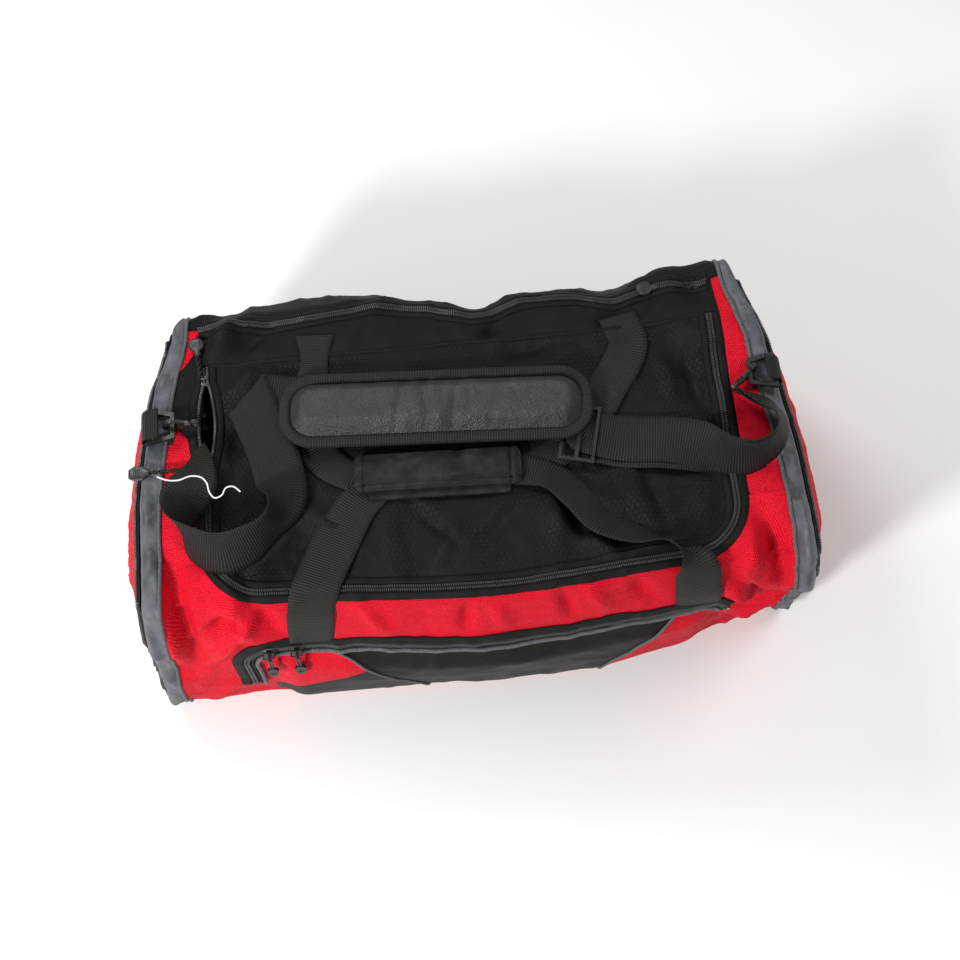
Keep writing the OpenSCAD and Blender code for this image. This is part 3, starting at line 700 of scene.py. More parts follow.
def skin(x, v, lift=0.0):
    """The point of the skin at (x, v), raised off it by lift."""
    x, v, lift = np.broadcast_arrays(np.asarray(x, float), np.asarray(v, float), np.asarray(lift, float))
    wall, out = along_wall(PROFILE, v), along_wall(PROFILE_OUT, v)
    height, side, depth, raised = shift(x, v)
    up = lift + height
    y = wall[..., 0] + out[..., 0] * up + depth
    z = wall[..., 1] + out[..., 1] * up + raised
    return np.stack([x + side, y, z], -1)


def skin_out(x, v):
    """Outward direction of the skin."""
    e = 2.0
    along_bag = skin(x + e, v) - skin(x - e, v)
    along_v = skin(x, v + e) - skin(x, v - e)
    return unit(np.cross(along_bag, along_v))


def cut_grid(xs, vs, keep):
    """A square mesh over xs and vs without what lies where keep is negative: places and faces."""
    gx, gv = np.meshgrid(xs, vs, indexing="ij")
    field = keep(gx, gv)
    places, faces, known = [], [], {}

    def corner(i, j):
        if (i, j) not in known:
            known[(i, j)] = len(places)
            places.append((gx[i, j], gv[i, j]))
        return known[(i, j)]

    def crossing(a, b):
        key = (a, b) if a < b else (b, a)
        if key not in known:
            fa, fb = field[key[0]], field[key[1]]
            t = min(max(fa / (fa - fb), 0.02), 0.98)
            known[key] = len(places)
            places.append(tuple(g[key[0]] * (1 - t) + g[key[1]] * t for g in (gx, gv)))
        return known[key]

    for i in range(len(xs) - 1):
        for j in range(len(vs) - 1):
            ring = ((i, j), (i + 1, j), (i + 1, j + 1), (i, j + 1))
            inside = [field[c] >= 0 for c in ring]
            if not any(inside):
                continue
            face = []
            for k in range(4):
                a, b = ring[k], ring[(k + 1) % 4]
                if inside[k]:
                    face.append(corner(*a))
                if inside[k] != inside[(k + 1) % 4]:
                    face.append(crossing(a, b))
            if len(face) > 2:
                faces.append(face)
    return np.array(places), faces


def panel(name, x_range, v_range, keep, material, step=3.5, lift=0.0, thick=1.4):
    """A cloth panel of the skin inside the ranges, where keep(x, v) isn't negative."""
    xs = np.linspace(*x_range, int((x_range[1] - x_range[0]) / step) + 1)
    vs = np.linspace(*v_range, int((v_range[1] - v_range[0]) / step) + 1)
    places, faces = cut_grid(xs, vs, keep)
    raised = lift(places[:, 0], places[:, 1]) if callable(lift) else lift
    obj = add_mesh(name, skin(places[:, 0], places[:, 1], raised), faces, material, places)
    return thicken(obj, thick)


def sewn(name, slot, x_range, v_range, keep, node=None, lift=0.0):
    """A panel that stays with the shell, in the cloth of its slot, and may stand for a CAD node."""
    cloth = panel(name, x_range, v_range, keep, SHELL_CLOTH[slot], lift=lift)
    place(cloth, slot, "root", *([node] if node else []))


# ---- outlines on the skin ----------------------------------------------------------------------

LID_LOW, LID_HIGH = box_mm("lid_zip_edge")
RIM_LOW, RIM_HIGH = box_mm("lid_zip_rim")
LID_X = (LID_HIGH[0] + RIM_HIGH[0]) / 2 - 4.0
LID_FRONT = (LID_LOW[1] + RIM_LOW[1]) / 2 + 4.0
LID_FOLD = RIM_HIGH[1]
LID_CORNER = 52.0
GUSSET_WIDTH = 20.0
STRIP_REAR = (box_mm("rear_zip")[0][1] + box_mm("rear_zip")[1][1]) / 2
HINGE_RUN = 22.0


def lid_line(x, v):
    """Signed distance inward from the lid's zip: positive inside the lid."""
    qx = np.abs(x) - (LID_X - LID_CORNER)
    qv = (LID_FRONT + LID_CORNER) - v
    outside = np.hypot(np.maximum(qx, 0.0), np.maximum(qv, 0.0))
    inside = np.minimum(np.maximum(qx, qv), 0.0)
    return LID_CORNER - outside - inside


# How far each half of the lid's zip stands aside where it is open, between its two sliders.
PARTING = 6.5
PARTED_FROM, PARTED_TO = -12.0, 80.0


def parted(v):
    """0 where the lid's zip is closed, 1 in the middle of its open stretch."""
    t = np.clip((v - PARTED_FROM) / (PARTED_TO - PARTED_FROM), 0.0, 1.0)
    return np.sin(math.pi * t) ** 0.7


def open_room(x, v):
    """What the open stretch takes off the cloth on each side of the zip."""
    return PARTING * (x < 0) * parted(v)


def lid_path():
    """The U of the lid's zip as places, from the left of the fold round the front to the right."""
    turn = np.linspace(0, math.pi / 2, 24)
    x_in, v_in = LID_X - LID_CORNER, LID_FRONT + LID_CORNER
    left = [(-LID_X, v) for v in np.linspace(LID_FOLD - 2, v_in, 40)]
    bend_left = [(-x_in - LID_CORNER * math.cos(a), v_in - LID_CORNER * math.sin(a)) for a in turn[1:]]
    bend_right = [(x_in + LID_CORNER * math.sin(a), v_in - LID_CORNER * math.cos(a)) for a in turn]
    right = [(LID_X, v) for v in np.linspace(v_in, LID_FOLD - 2, 40)[1:]]
    return even(np.array(left + bend_left + bend_right + right), 2.0)


# ---- zips --------------------------------------------------------------------------------------
# A zip runs along a path of places on a surface. surface(places, lift) gives points in space.

TOOTH_PITCH = 2.2
TOOTH = np.array(
    [(-0.5, -0.34, 0.0), (0.5, -0.34, 0.0), (0.5, 0.34, 0.0), (-0.5, 0.34, 0.0)]
    + [(-0.46, -0.30, 0.7), (0.46, -0.30, 0.7), (0.46, 0.30, 0.7), (-0.46, 0.30, 0.7)]
    + [(-0.30, -0.18, 1.0), (0.30, -0.18, 1.0), (0.30, 0.18, 1.0), (-0.30, 0.18, 1.0)]
)
TOOTH_FACES = np.array(
    [(0, 3, 2, 1), (8, 9, 10, 11)]
    + [(k, (k + 1) % 4, 4 + (k + 1) % 4, 4 + k) for k in range(4)]
    + [(4 + k, 4 + (k + 1) % 4, 8 + (k + 1) % 4, 8 + k) for k in range(4)]
)


def joined(parts):
    """Several (points, faces) meshes as one."""
    verts, faces, count = [], [], 0
    for points, polygons in parts:
        verts.append(points)
        faces += [[count + k for k in polygon] for polygon in polygons]
        count += len(points)
    return np.concatenate(verts), faces


def skin_surface(places, lift):
    return skin(places[..., 0], places[..., 1], lift)


def sideways(path):
    """Unit directions to the left of a walk along a path of places."""
    run = unit(np.gradient(path, axis=0))
    return np.stack([-run[:, 1], run[:, 0]], axis=1)


def teeth_row(name, surface, path, side, lift, phase):
    """Coil teeth on one side of a path: small blocks that narrow upward."""
    line = surface(path, lift)
    out = unit(surface(path, lift + 1.0) - line)
    row = even(np.hstack([line, out]), TOOTH_PITCH / 4)
    s = lengths(row[:, :3])
    at = np.arange(phase * TOOTH_PITCH, s[-1], TOOTH_PITCH)
    p = np.stack([np.interp(at, s, row[:, k]) for k in range(3)], axis=1)
    n = np.stack([np.interp(at, s, row[:, 3 + k]) for k in range(3)], axis=1)
    tangent, across, up = frames(p, n)
    size = TOOTH * np.array([2.9, TOOTH_PITCH, 2.6])
    verts = (
        p[:, None, :]
        + across[:, None, :] * (side * 1.7 + size[None, :, :1])
        + tangent[:, None, :] * size[None, :, 1:2]
        + up[:, None, :] * size[None, :, 2:]
    )
    faces = (TOOTH_FACES[None] + (np.arange(len(at)) * len(TOOTH))[:, None, None]).reshape(-1, 4)
    teeth = add_mesh(name, verts.reshape(-1, 3), faces.tolist(), TEETH)
    teeth.data.polygons.foreach_set("use_smooth", [False] * len(teeth.data.polygons))
    return teeth


def surface_strip(name, surface, path, offsets, lifts, material, thick=0.7):
    """A strip of cloth along a path, given across by offsets to the left and lifts off the surface."""
    offsets, lifts = np.asarray(offsets, float), np.asarray(lifts, float)
    left = sideways(path)
    places = path[:, None, :] + left[:, None, :] * offsets[None, :, None]
    points = surface(places, np.broadcast_to(lifts, places.shape[:2]))
    faces = grid_faces(len(path), len(offsets))
    raised = surface(places[:1, :1], lifts[:1] + 1.0)[0, 0] - points[0, 0]
    turn = np.cross(points[1, 0] - points[0, 0], points[0, 1] - points[0, 0])
    if np.dot(turn, raised) > 0:
        faces = [face[::-1] for face in faces]
    s = lengths(points[:, 0])
    uv = np.stack([np.tile(offsets, len(path)), np.repeat(s, len(offsets))], axis=1)
    return thicken(add_mesh(name, points.reshape(-1, 3), faces, material, uv), thick)


def zip_half(name, surface, path, side, tape=11.0, welt=1.4, lift=0.9):
    """One half of a coil zip: a tape whose sewn edge stands up as a welt, and a row of teeth."""
    offsets = np.array([0.1, 1.8, 3.6, 4.8, 5.6, 7.0, 0.5 * (7.0 + tape), tape])
    lifts = lift + np.array([0.0, 0.0, 0.1, 0.7 * welt, welt, 0.85 * welt, 0.4 * welt, -0.2])
    cloth = surface_strip(name, surface, path, side * offsets, lifts, TAPE)
    teeth = teeth_row(name + "_teeth", surface, path, side, lift, 0.0 if side > 0 else 0.5)
    return cloth, teeth


def shell_zip(names, node, surface, path, tapes, **how):
    """Both halves of a zip that stays with the shell. The left one stands for the CAD node."""
    for side, name, tape in zip((1, -1), names, tapes):
        cloth, teeth = zip_half(name, surface, path, side, tape=tape, **how)
        place(cloth, "zip", "root")
        place(teeth, "zip", "root")
        if side > 0:
            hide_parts(node)


def on_skin(places, lift):
    """A line of points on the skin with its outward directions."""
    x, v = places[:, 0], places[:, 1]
    return skin(x, v, lift), skin_out(x, v)


# ---- the cord ----------------------------------------------------------------------------------

THREAD = 1.5
THREAD_Z = 318.4


def loose_thread():
    """A loose end of cotton thread lying over the strap's loop. Its route is the CAD solid's."""
    start = (-300, -44)
    turns = [(-290, -49), (-279, -50), (-268, -47), (-258, -49), (-252, -56), (-250, -65)]
    turns += [(-245, -72), (-238, -70), (-234, -63), (-227, -62), (-220, -68)]
    route = [(*start, THREAD_Z)] + [(x, y, THREAD_Z + 1) for x, y in turns]
    line = even(spline(route, 1.0), 0.7)
    up = np.tile([0.0, 0.0, 1.0], (len(line), 1))
    verts, faces, uv = sweep(line, up, circle(THREAD / 2, 8))
    thread = add_mesh("loose_thread", verts, faces, COTTON, uv)
    place(thread, "thread", "root", "tag_thread")


# ---- shell -------------------------------------------------------------------------------------


def inside_gusset(x, v):
    """Distance inward from the gusset's inner edge."""
    return end_edge(v) - GUSSET_WIDTH - np.abs(x)


X_REACH = 345.0
ZIP_ROOM = 3.0
# Where the front panel ends and the bands beside the lid start.
FRONT_EDGE = -97.0
STRIP_END = 268.0


def facing_edge(side, v):
    """Where the black facing beside the lid's zip ends: on the left it widens beside the open stretch."""
    if side < 0:
        return 262.0 + 38.0 * hill((v - 66.0) / 50.0)
    return np.full_like(v, 273.0)


def top_band(side, name):
    """The red band between the lid's zip and an end, and the black facing along the zip."""
    ends = (-X_REACH, -200.0) if side < 0 else (200.0, X_REACH)
    run = (FRONT_EDGE - 3.0, STRIP_REAR + 1)

    def band(x, v):
        beside = np.minimum(inside_gusset(x, v), -ZIP_ROOM - open_room(x, v) - lid_line(x, v))
        return np.minimum(beside, np.minimum(v - FRONT_EDGE, np.maximum(LID_FOLD - v, np.abs(x) - STRIP_END)))

    def facing(x, v):
        return facing_edge(side, v) - np.abs(x)

    def red(x, v):
        return np.minimum(band(x, v), -facing(x, v))

    def black(x, v):
        return np.minimum(band(x, v), facing(x, v))

    sewn(name + "_band_cloth", "red_ripstop", ends, run, red, name + "_top_band")
    sewn(name + "_zip_facing", "black_fabric", ends, run, black)


def shell_panels():
    whole = (-X_REACH, X_REACH)
    strip = (LID_FOLD, STRIP_REAR - 2)

    def front(x, v):
        return np.minimum(np.minimum(inside_gusset(x, v), -ZIP_ROOM - lid_line(x, v)), FRONT_EDGE - v)

    def between_ends(x, v):
        return STRIP_END - np.abs(x)

    sewn("front_cloth", "red_ripstop", whole, (V_FRONT, -60.0), front, "front_panel")
    for side, name in SIDES:
        top_band(side, name)
    sewn("rear_strip_cloth", "black_fabric", (-275.0, 275.0), strip, between_ends, "rear_top_strip")
    sewn("rear_cloth", "black_fabric", whole, (STRIP_REAR + 2, V_REAR), inside_gusset, "rear_panel")


def lid():
    cloth = panel(
        "lid_cloth",
        (-LID_X, LID_X),
        (LID_FRONT - 2, LID_FOLD),
        lambda x, v: lid_line(x, v) - ZIP_ROOM - open_room(x, v),
        HONEYCOMB,
        step=3.2,
    )
    bend_with_lid(cloth, "black_ripstop", "lid_panel")
    seam = np.stack([np.linspace(-LID_X + 2, LID_X - 2, 180), np.full(180, LID_FOLD)], axis=1)
    points, out = on_skin(seam, 0.2)
    verts, faces, uv = sweep(points, out, flat_section(5.0, 1.6, -0.5, 7))
    place(add_mesh("fold_seam", verts, faces, BLACK, uv), "black_fabric", "root")


def bend_with_lid(obj, slot, *nodes):
    """Cloth by the lid's fold: hides the CAD nodes it stands for and bakes its transform, through stretch."""
    stretch(obj, slot, "lid", (0, LID_FOLD, TOP_Z), (0, LID_FOLD - HINGE_RUN, TOP_Z), *nodes)


def lid_zip():
    for side, name, node in ((1, "lid_zip_inner", "lid_zip_edge"), (-1, "lid_zip_outer", "lid_zip_rim")):
        path = lid_path()
        path[:, 0] += side * PARTING * (path[:, 0] < 0) * parted(path[:, 1])
        cloth, teeth = zip_half(name, skin_surface, path, side)
        if side > 0:
            bend_with_lid(cloth, "zip", node)
            bend_with_lid(teeth, "zip")
        else:
            place(cloth, "zip", "root", node)
            place(teeth, "zip", "root")


def rear_zip():
    half = box_mm("rear_zip")[1][0]
    x = np.linspace(-half, half, 270)
    path = np.stack([x, np.full_like(x, STRIP_REAR)], axis=1)
    shell_zip(("rear_zip_far", "rear_zip_near"), "rear_zip", skin_surface, path, (10.0, 10.0))


# ---- ends --------------------------------------------------------------------------------------

END_ROUND = 9.0
END_CENTRE = np.array([0.0, 112.0])
# The end's rim runs on beyond the rear wall by this much of v, forward along the floor.
FLOOR_RUN = 330.0
# The run of an end's face from its rim to its middle, which scales places on it.
END_SPAN = 150.0


def end_band(side, v, inset, drop):
    """A point of the band round an end: inset inward from the end's plane, dropped into the bag."""
    return skin(side * (end_edge(v) - inset), v, -drop)


def end_dome(t):
    """How far the end's face stands out of its plane, from its rim to its middle."""
    return 27.0 * np.sin(math.pi / 2 * np.clip(t / 0.6, 0.0, 1.0))


def end_rim(side, v):
    """The end's rim: up, over and down the skin, then for v beyond it forward along the floor."""

    def on_walls(at):
        point = end_band(side, at, 0.0, END_ROUND)
        point[..., 0] -= side * end_edge(at)
        return point

    walls = on_walls(np.clip(v, V_FRONT, V_REAR))
    rear, front = on_walls(np.array(V_REAR)), on_walls(np.array(V_FRONT))
    s = np.clip((v - V_REAR) / FLOOR_RUN, 0.0, 1.0)[..., None]
    return np.where(s > 0, rear * (1 - s) + front * s, walls)


def end_face(side, v, t, out):
    """A point of the end's face: t is 0 at its rim and 1 in its middle, and out raises it off the face."""
    rim = end_rim(side, v)
    yz = rim[..., 1:] * (1 - t)[..., None] + END_CENTRE * t[..., None]
    flat_x = END_X - END_LEAN * yz[..., 1] - END_TURN * yz[..., 0]
    lost = rim[..., 0] * (1 - t)
    x = side * (flat_x + end_dome(t) + out) + lost
    return np.concatenate([x[..., None], yz], axis=-1)


def gusset(side, name):
    v = np.linspace(V_FRONT, V_REAR, 240)
    turn = np.linspace(0, math.radians(88), 8)
    flat = np.linspace(GUSSET_WIDTH, END_ROUND, 6)[:-1]
    inset = np.concatenate([flat, END_ROUND - END_ROUND * np.sin(turn)])
    drop = np.concatenate([np.zeros(5), END_ROUND * (1 - np.cos(turn))])
    puff = 2.0 * np.sin(np.linspace(0, math.pi, len(inset)))
    vv, kk = np.meshgrid(v, np.arange(len(inset)), indexing="ij")
    wrinkle = 1.8 * ridges(vv, kk * 3.0, 22.0, 40 + side) + 1.0 * cloud(vv, kk * 2.0, 12.0, 50 + side)
    weight = np.sin(np.linspace(0, math.pi, len(inset)))
    points = end_band(side, vv, inset[kk], drop[kk] - puff[kk] - wrinkle * weight[kk])
    points[..., 2] = np.maximum(points[..., 2], 1.3)
    rows, cols = vv.shape
    faces = grid_faces(rows, cols)
    if side < 0:
        faces = [face[::-1] for face in faces]
    run = lengths(np.stack([inset, drop], axis=1))
    uv = np.stack([run[kk].ravel(), vv.ravel()], axis=1)
    band = add_mesh(name + "_gusset_vinyl", points.reshape(-1, 3), faces, VINYL, uv)
    place(thicken(band, 1.2), "grey_vinyl", "root", name + "_gusset")


def end_pipe(side, name):
    v = np.linspace(V_FRONT, V_REAR, 300)
    line = end_band(side, v, GUSSET_WIDTH + 0.5, -0.9)
    line[:, 2] = np.maximum(line[:, 2], 2.2)
    out = skin_out(side * (end_edge(v) - GUSSET_WIDTH), v)
    verts, faces, uv = sweep(line, out, circle(2.1))
    place(add_mesh(name + "_pipe", verts, faces, PIPING, uv), "grey_piping", "root", name + "_piping")


def end_sheet(name, side, v, t, out, material, thick):
    """Cloth over an end's face: out(points, t) raises it off the face."""
    vv, tt = np.meshgrid(v, t, indexing="ij")
    points = end_face(side, vv, tt, out(vv, tt))
    points[..., 2] = np.maximum(points[..., 2], 1.0)
    faces = grid_faces(*vv.shape)
    cols = vv.shape[1]
    faces.append([k * cols + cols - 1 for k in range(vv.shape[0])][::-1])
    if side < 0:
        faces = [face[::-1] for face in faces]
    points = points.reshape(-1, 3)
    return thicken(add_mesh(name, points, faces, material, points[:, 1:]), thick)


def end_parts(side, name):
    gusset(side, name)
    end_pipe(side, name)
    v = np.linspace(V_FRONT, V_REAR, 260)

    def face_surface(places, lift):
        return end_face(side, places[..., 0], places[..., 1] / END_SPAN, lift)

    path = np.stack([v, np.full_like(v, 0.06 * END_SPAN)], axis=1)
    halves = (name + "_end_zip_a", name + "_end_zip_b")
    shell_zip(halves, name + "_end_zip", face_surface, path, (8.0, 8.0), welt=0.9)
    around = np.linspace(V_FRONT, V_REAR + FLOOR_RUN, 340)

    def puckered(vv, tt):
        near_seam = ease((vv - V_FRONT) / 50.0) * ease((V_REAR + FLOOR_RUN - vv) / 50.0)
        wrinkles = 3.2 * near_seam * crumple(vv * (1 - 0.5 * tt), tt * END_SPAN, 60 + side)
        return 1.0 + wrinkles * ease((tt - 0.1) / 0.2) * (1.0 - 0.8 * ease((tt - 0.8) / 0.2))

    def flattened(vv, tt):
        return -2.5 - 0.8 * end_dome(tt) * ease(tt / 0.1)

    t = np.concatenate([np.linspace(0.095, 0.3, 14), np.linspace(0.3, 0.985, 36)[1:]])
    pocket = end_sheet(name + "_pocket_cloth", side, around, t, puckered, RED, 1.4)
    place(pocket, "red_ripstop", "root", name + "_end_pocket")
    t = np.concatenate([np.linspace(0.0, 0.12, 8), np.linspace(0.12, 0.985, 12)[1:]])
    wall = end_sheet(name + "_end_wall", side, around, t, flattened, BLACK, 1.6)
    place(wall, "black_fabric", "root", name + "_end_panel")


# ---- front pocket ------------------------------------------------------------------------------

POCKET_LOW, POCKET_HIGH = box_mm("front_pocket_patches")
ZIP_LOW, ZIP_HIGH = box_mm("front_pocket_zip")
POCKET_X = (POCKET_LOW[0], POCKET_HIGH[0])
POCKET_Z = (ZIP_LOW[2] + ZIP_HIGH[2]) / 2
V_POCKET_ZIP = v_at_height(POCKET_Z)
V_POCKET_PIPE = v_at_height(POCKET_Z - 12)
V_POCKET_BOTTOM = v_at_height(POCKET_LOW[2])
FACE_X = (box_mm("front_pocket_face")[0][0], box_mm("front_pocket_face")[1][0])


def pocket_line(x, v):
    """Signed distance inward from the pocket's outline, whose lower corners are round."""
    x_mid, x_half = sum(POCKET_X) / 2, (POCKET_X[1] - POCKET_X[0]) / 2
    v_mid, v_half = (V_POCKET_PIPE + V_POCKET_BOTTOM) / 2, (V_POCKET_PIPE - V_POCKET_BOTTOM) / 2
    round_ = 34.0
    qx, qv = np.abs(x - x_mid) - x_half + round_, np.abs(v - v_mid) - v_half + round_
    outside = np.hypot(np.maximum(qx, 0), np.maximum(qv, 0))
    return round_ - outside - np.minimum(np.maximum(qx, qv), 0)


def pocket_lift(x, v):
    """How far the pocket's face stands off the wall."""
    return 1.0 + 11.0 * ease(pocket_line(x, v) / 34.0)


def face_edge(side, v):
    """How far out the pocket's dark face reaches at each side: widest at its top."""
    rise = np.clip((v - V_POCKET_BOTTOM) / (V_POCKET_PIPE - V_POCKET_BOTTOM), 0.0, 1.0)
    if side < 0:
        return FACE_X[0] + 70.0 - 96.0 * rise**1.6
    return FACE_X[1] - 20.0 + 84.0 * rise**1.6


def foot_line(x, v):
    """Positive on the dark foot of the pocket, which at the left climbs to meet the dark face."""
    return V_POCKET_BOTTOM + np.where(x < 0, 188.0 + 0.577 * x, 34.0) - v


def patch_line(x, v):
    """Positive on the red patches at the pocket's two sides."""
    return np.minimum(np.maximum(face_edge(-1, v) - x, x - face_edge(1, v)), -foot_line(x, v))


def pocket_zip_path():
    """The pocket's zip: straight along its top, turned far down at the left and a little at the right."""
    left, right, top = ZIP_LOW[0] - 18.0, ZIP_HIGH[0] + 2.0, V_POCKET_ZIP
    turn = np.linspace(0, math.pi / 2, 20)
    down = [(left, top - d) for d in (96.0, 80.0, 65.0, 50.0)]
    round_left = [(left + 36.0 * (1 - math.cos(a)), top - 36.0 * (1 - math.sin(a))) for a in turn]
    round_right = [(right - 32.0 * (1 - math.sin(a)), top - 32.0 * (1 - math.cos(a))) for a in turn]
    return even(np.array(down + round_left + round_right), 2.0)


def front_pocket():
    area = (POCKET_X, (V_POCKET_BOTTOM, V_POCKET_PIPE))

    def face(x, v):
        return np.minimum(pocket_line(x, v), -patch_line(x, v))

    def patches(x, v):
        return np.minimum(pocket_line(x, v), patch_line(x, v))

    sewn("pocket_face_cloth", "black_ripstop", *area, face, "front_pocket_face", pocket_lift)
    sewn("pocket_patch_cloth", "red_ripstop", *area, patches, "front_pocket_patches", pocket_lift)
    pipes = []
    path = pocket_zip_path()
    beside = path - 11.0 * sideways(path)
    points, out = on_skin(beside, np.maximum(3.0, 1.2 + pocket_lift(beside[:, 0], beside[:, 1])))
    pipes.append(sweep(points, out, circle(2.4))[:2])
    v = np.linspace(V_POCKET_BOTTOM + 2, V_POCKET_PIPE, 90)
    for side in (-1, 1):
        x = face_edge(side, v)
        points, out = on_skin(np.stack([x, v], axis=1), pocket_lift(x, v) + 0.6)
        pipes.append(sweep(points, out, circle(1.6, 8))[:2])
    verts, faces = joined(pipes)
    mesh = add_mesh("pocket_pipes", verts, faces, PIPING, verts[:, [0, 2]])
    place(mesh, "grey_piping", "root", "front_pocket_piping")
    halves = ("pocket_zip_upper", "pocket_zip_lower")
    shell_zip(halves, "front_pocket_zip", skin_surface, path, (15.0, 9.0), welt=2.0, lift=1.4)


# ---- base --------------------------------------------------------------------------------------


def base_places(inset):
    """Places over the bag's foot, that far in from its edge."""
    gx, gt = np.meshgrid(np.linspace(-1, 1, 120), np.linspace(0, 1, 50), indexing="ij")
    low, high = PROFILE[0, 0] + inset, PROFILE[-1, 0] - inset
    y = low + (high - low) * gt
    x = gx * (END_X - 10.0 - inset - END_TURN * y)
    return x, y + tuck(x, V_FRONT) * (1.0 - gt) ** 2


def base():
    """The underside: a cloth panel, and the stiff board inside."""
    x, y = base_places(14.0)
    points, faces = slab_mesh(x, y, np.full_like(x, 6.0), np.full_like(x, 3.2))
    place(add_mesh("base_stiffener", points, faces, BOARD, points[:, :2]), "board", "root", "base_board")
    x, y = base_places(0.0)
    z = 2.0 + 0.35 * cloud(x, y, 40.0, 90)
    points = np.stack([x, y, z], axis=-1).reshape(-1, 3)
    faces = [face[::-1] for face in grid_faces(*x.shape)]
    cloth = add_mesh("base_cloth", points, faces, BLACK, points[:, :2])
    place(thicken(cloth, 1.4), "black_fabric", "root", "bottom_panel")


# ---- straps ------------------------------------------------------------------------------------


def cut_off(obj, at, away):
    """Cuts off what lies beyond the upright plane through at, on the side that away points to."""
    cut = bmesh.new()
    cut.from_mesh(obj.data)
    everything = cut.verts[:] + cut.edges[:] + cut.faces[:]
    point = tuple(MM * c for c in at)
    made = bmesh.ops.bisect_plane(cut, geom=everything, plane_co=point, plane_no=away, clear_outer=True)
    rim = [e for e in made["geom_cut"] if isinstance(e, bmesh.types.BMEdge)]
    bmesh.ops.edgeloop_fill(cut, edges=rim)
    cut.to_mesh(obj.data)
    cut.free()
    return obj


def ring_tabs():
    """Webbing loops that hold the two rings: each comes up out of the seam, round the ring's bar and back."""
    for side, name in SIDES:
        low, high = box_mm(name + "_ring_tab")
        y = (low[1] + high[1]) / 2
        outer = max(abs(low[0]), abs(high[0]))
        cover = 9.0 if side < 0 else 6.0
        width = high[1] - low[1] + (6.0 if side < 0 else 0.0)
        rows = [
            (outer - 30.0, low[2] - 0.5),
            (outer - 18.0, low[2] + 0.5),
            (outer - 6.0, low[2] + 1.0),
            (outer, (low[2] + high[2]) / 2 - 1.0),
            (outer - 4.0, high[2] - 0.5),
            (outer - 10.0, high[2] + 1.5),
            (outer - 10.0 - cover / 2, high[2] + 3.5),
            (outer - 10.0 - cover, high[2] + 5.0),
        ]
        route = [((side * x, y, z), (0, 1, 0), width) for x, z in rows]
        tab = ribbon(name + "_tab_webbing", route, WEBBING, step=1.5, thick=1.6)
        place(tab, "webbing", "root", name + "_ring_tab")


STRAP_Z = box_mm("strap_middle")[0][2] + 0.8
HANDLE_Z = box_mm("rear_handle")[0][2] + 0.8
FRONT_HANDLE_Z = HANDLE_Z + 2.2
STRAP = 50.0
HANDLE = 46.0
# The line that the strap folds over on, how far each side of the fold turns from it, and its rise.
FOLD_AT = np.array([-218.0, 60.0, 0.0])
FOLD_ALONG = unit(np.array([0.643, 0.765, 0.0]))
FOLD_TURN = math.radians(60)
FOLD_RISE = 3.0


def fold_edge():
    """The rolled edge where the strap folds over."""
    half = STRAP / 2 / math.sin(FOLD_TURN)
    middle = STRAP_Z + FOLD_RISE / 2
    ends = [FOLD_AT + FOLD_ALONG * half * k for k in np.linspace(-1, 1, 24)]
    edge = np.array(ends) + np.array([0, 0, middle])
    arc = np.linspace(-math.pi / 2, 1.5 * math.pi, 14, endpoint=False)
    section = np.stack([1.2 * np.cos(arc), (FOLD_RISE + 1.6) / 2 * np.sin(arc)], axis=1)
    verts, faces, uv = sweep(edge, np.tile([0.0, 0.0, 1.0], (24, 1)), section)
    place(add_mesh("strap_fold_edge", verts, faces, WEBBING, uv), "webbing", "lid")


def strap_fold():
    """The strap comes out flat from under the pad and folds over on itself along a slanting line."""
    away = (-FOLD_ALONG[1], FOLD_ALONG[0], 0.0)
    top_z = STRAP_Z + FOLD_RISE
    heading = math.atan2(FOLD_ALONG[1], FOLD_ALONG[0])
    over = np.array([math.cos(heading + FOLD_TURN), math.sin(heading + FOLD_TURN)])
    under = np.array([math.cos(heading - FOLD_TURN), math.sin(heading - FOLD_TURN)])
    spots = [FOLD_AT[:2] + d * under for d in (-50, 0, 40, 70)]
    lower = [((*spot, STRAP_Z + 0.3), (-under[1], under[0], 0), STRAP) for spot in spots]
    sheet = cut_off(ribbon("strap_left_under", lower, WEBBING), FOLD_AT, away)
    place(sheet, "webbing", "lid")
    start = FOLD_AT[:2] + 50 * over
    bend_at = FOLD_AT[:2] - 62 * over
    left = [
        ((*start, top_z), (-over[1], over[0], 0), STRAP),
        ((*FOLD_AT[:2], top_z), (-over[1], over[0], 0), STRAP),
        ((*bend_at, top_z + 2), (-over[1], over[0], 0.02), STRAP),
        ((-188, -34, STRAP_Z + 6), (-0.97, -0.2, 0.1), STRAP),
        ((-185, -58, STRAP_Z + 12), (-0.85, -0.2, 0.5), STRAP),
        ((-188, -80, STRAP_Z + 19), (-0.4, 0, 0.9), STRAP),
        ((-199, -98, STRAP_Z + 22), (0, 0.3, 0.95), STRAP),
        ((-219, -112, STRAP_Z + 22), (0.1, 0.5, 0.85), STRAP),
        ((-244, -119, STRAP_Z + 22), (0.05, 0.55, 0.8), STRAP),
        ((-267, -110, STRAP_Z + 22), (0, 0.5, 0.85), STRAP),
        ((-284, -90, STRAP_Z + 22), (-0.2, 0.5, 0.85), STRAP),
        ((-283, -64, STRAP_Z + 21), (-0.5, 0.65, 0.6), STRAP),
        ((-269, -40, STRAP_Z + 18), (-0.6, 0.75, 0.3), 44),
        ((-264, -14, STRAP_Z + 13), (-0.8, 0.6, 0), 24),
        ((-268, 8, STRAP_Z + 8), (-1, 0.1, 0), 13),
        ((-270, 26, STRAP_Z + 6), (-1, 0.2, 0), 12),
    ]
    loop = cut_off(ribbon("strap_left", left, WEBBING, step=2.5), FOLD_AT, away)
    fold_edge()
    return loop


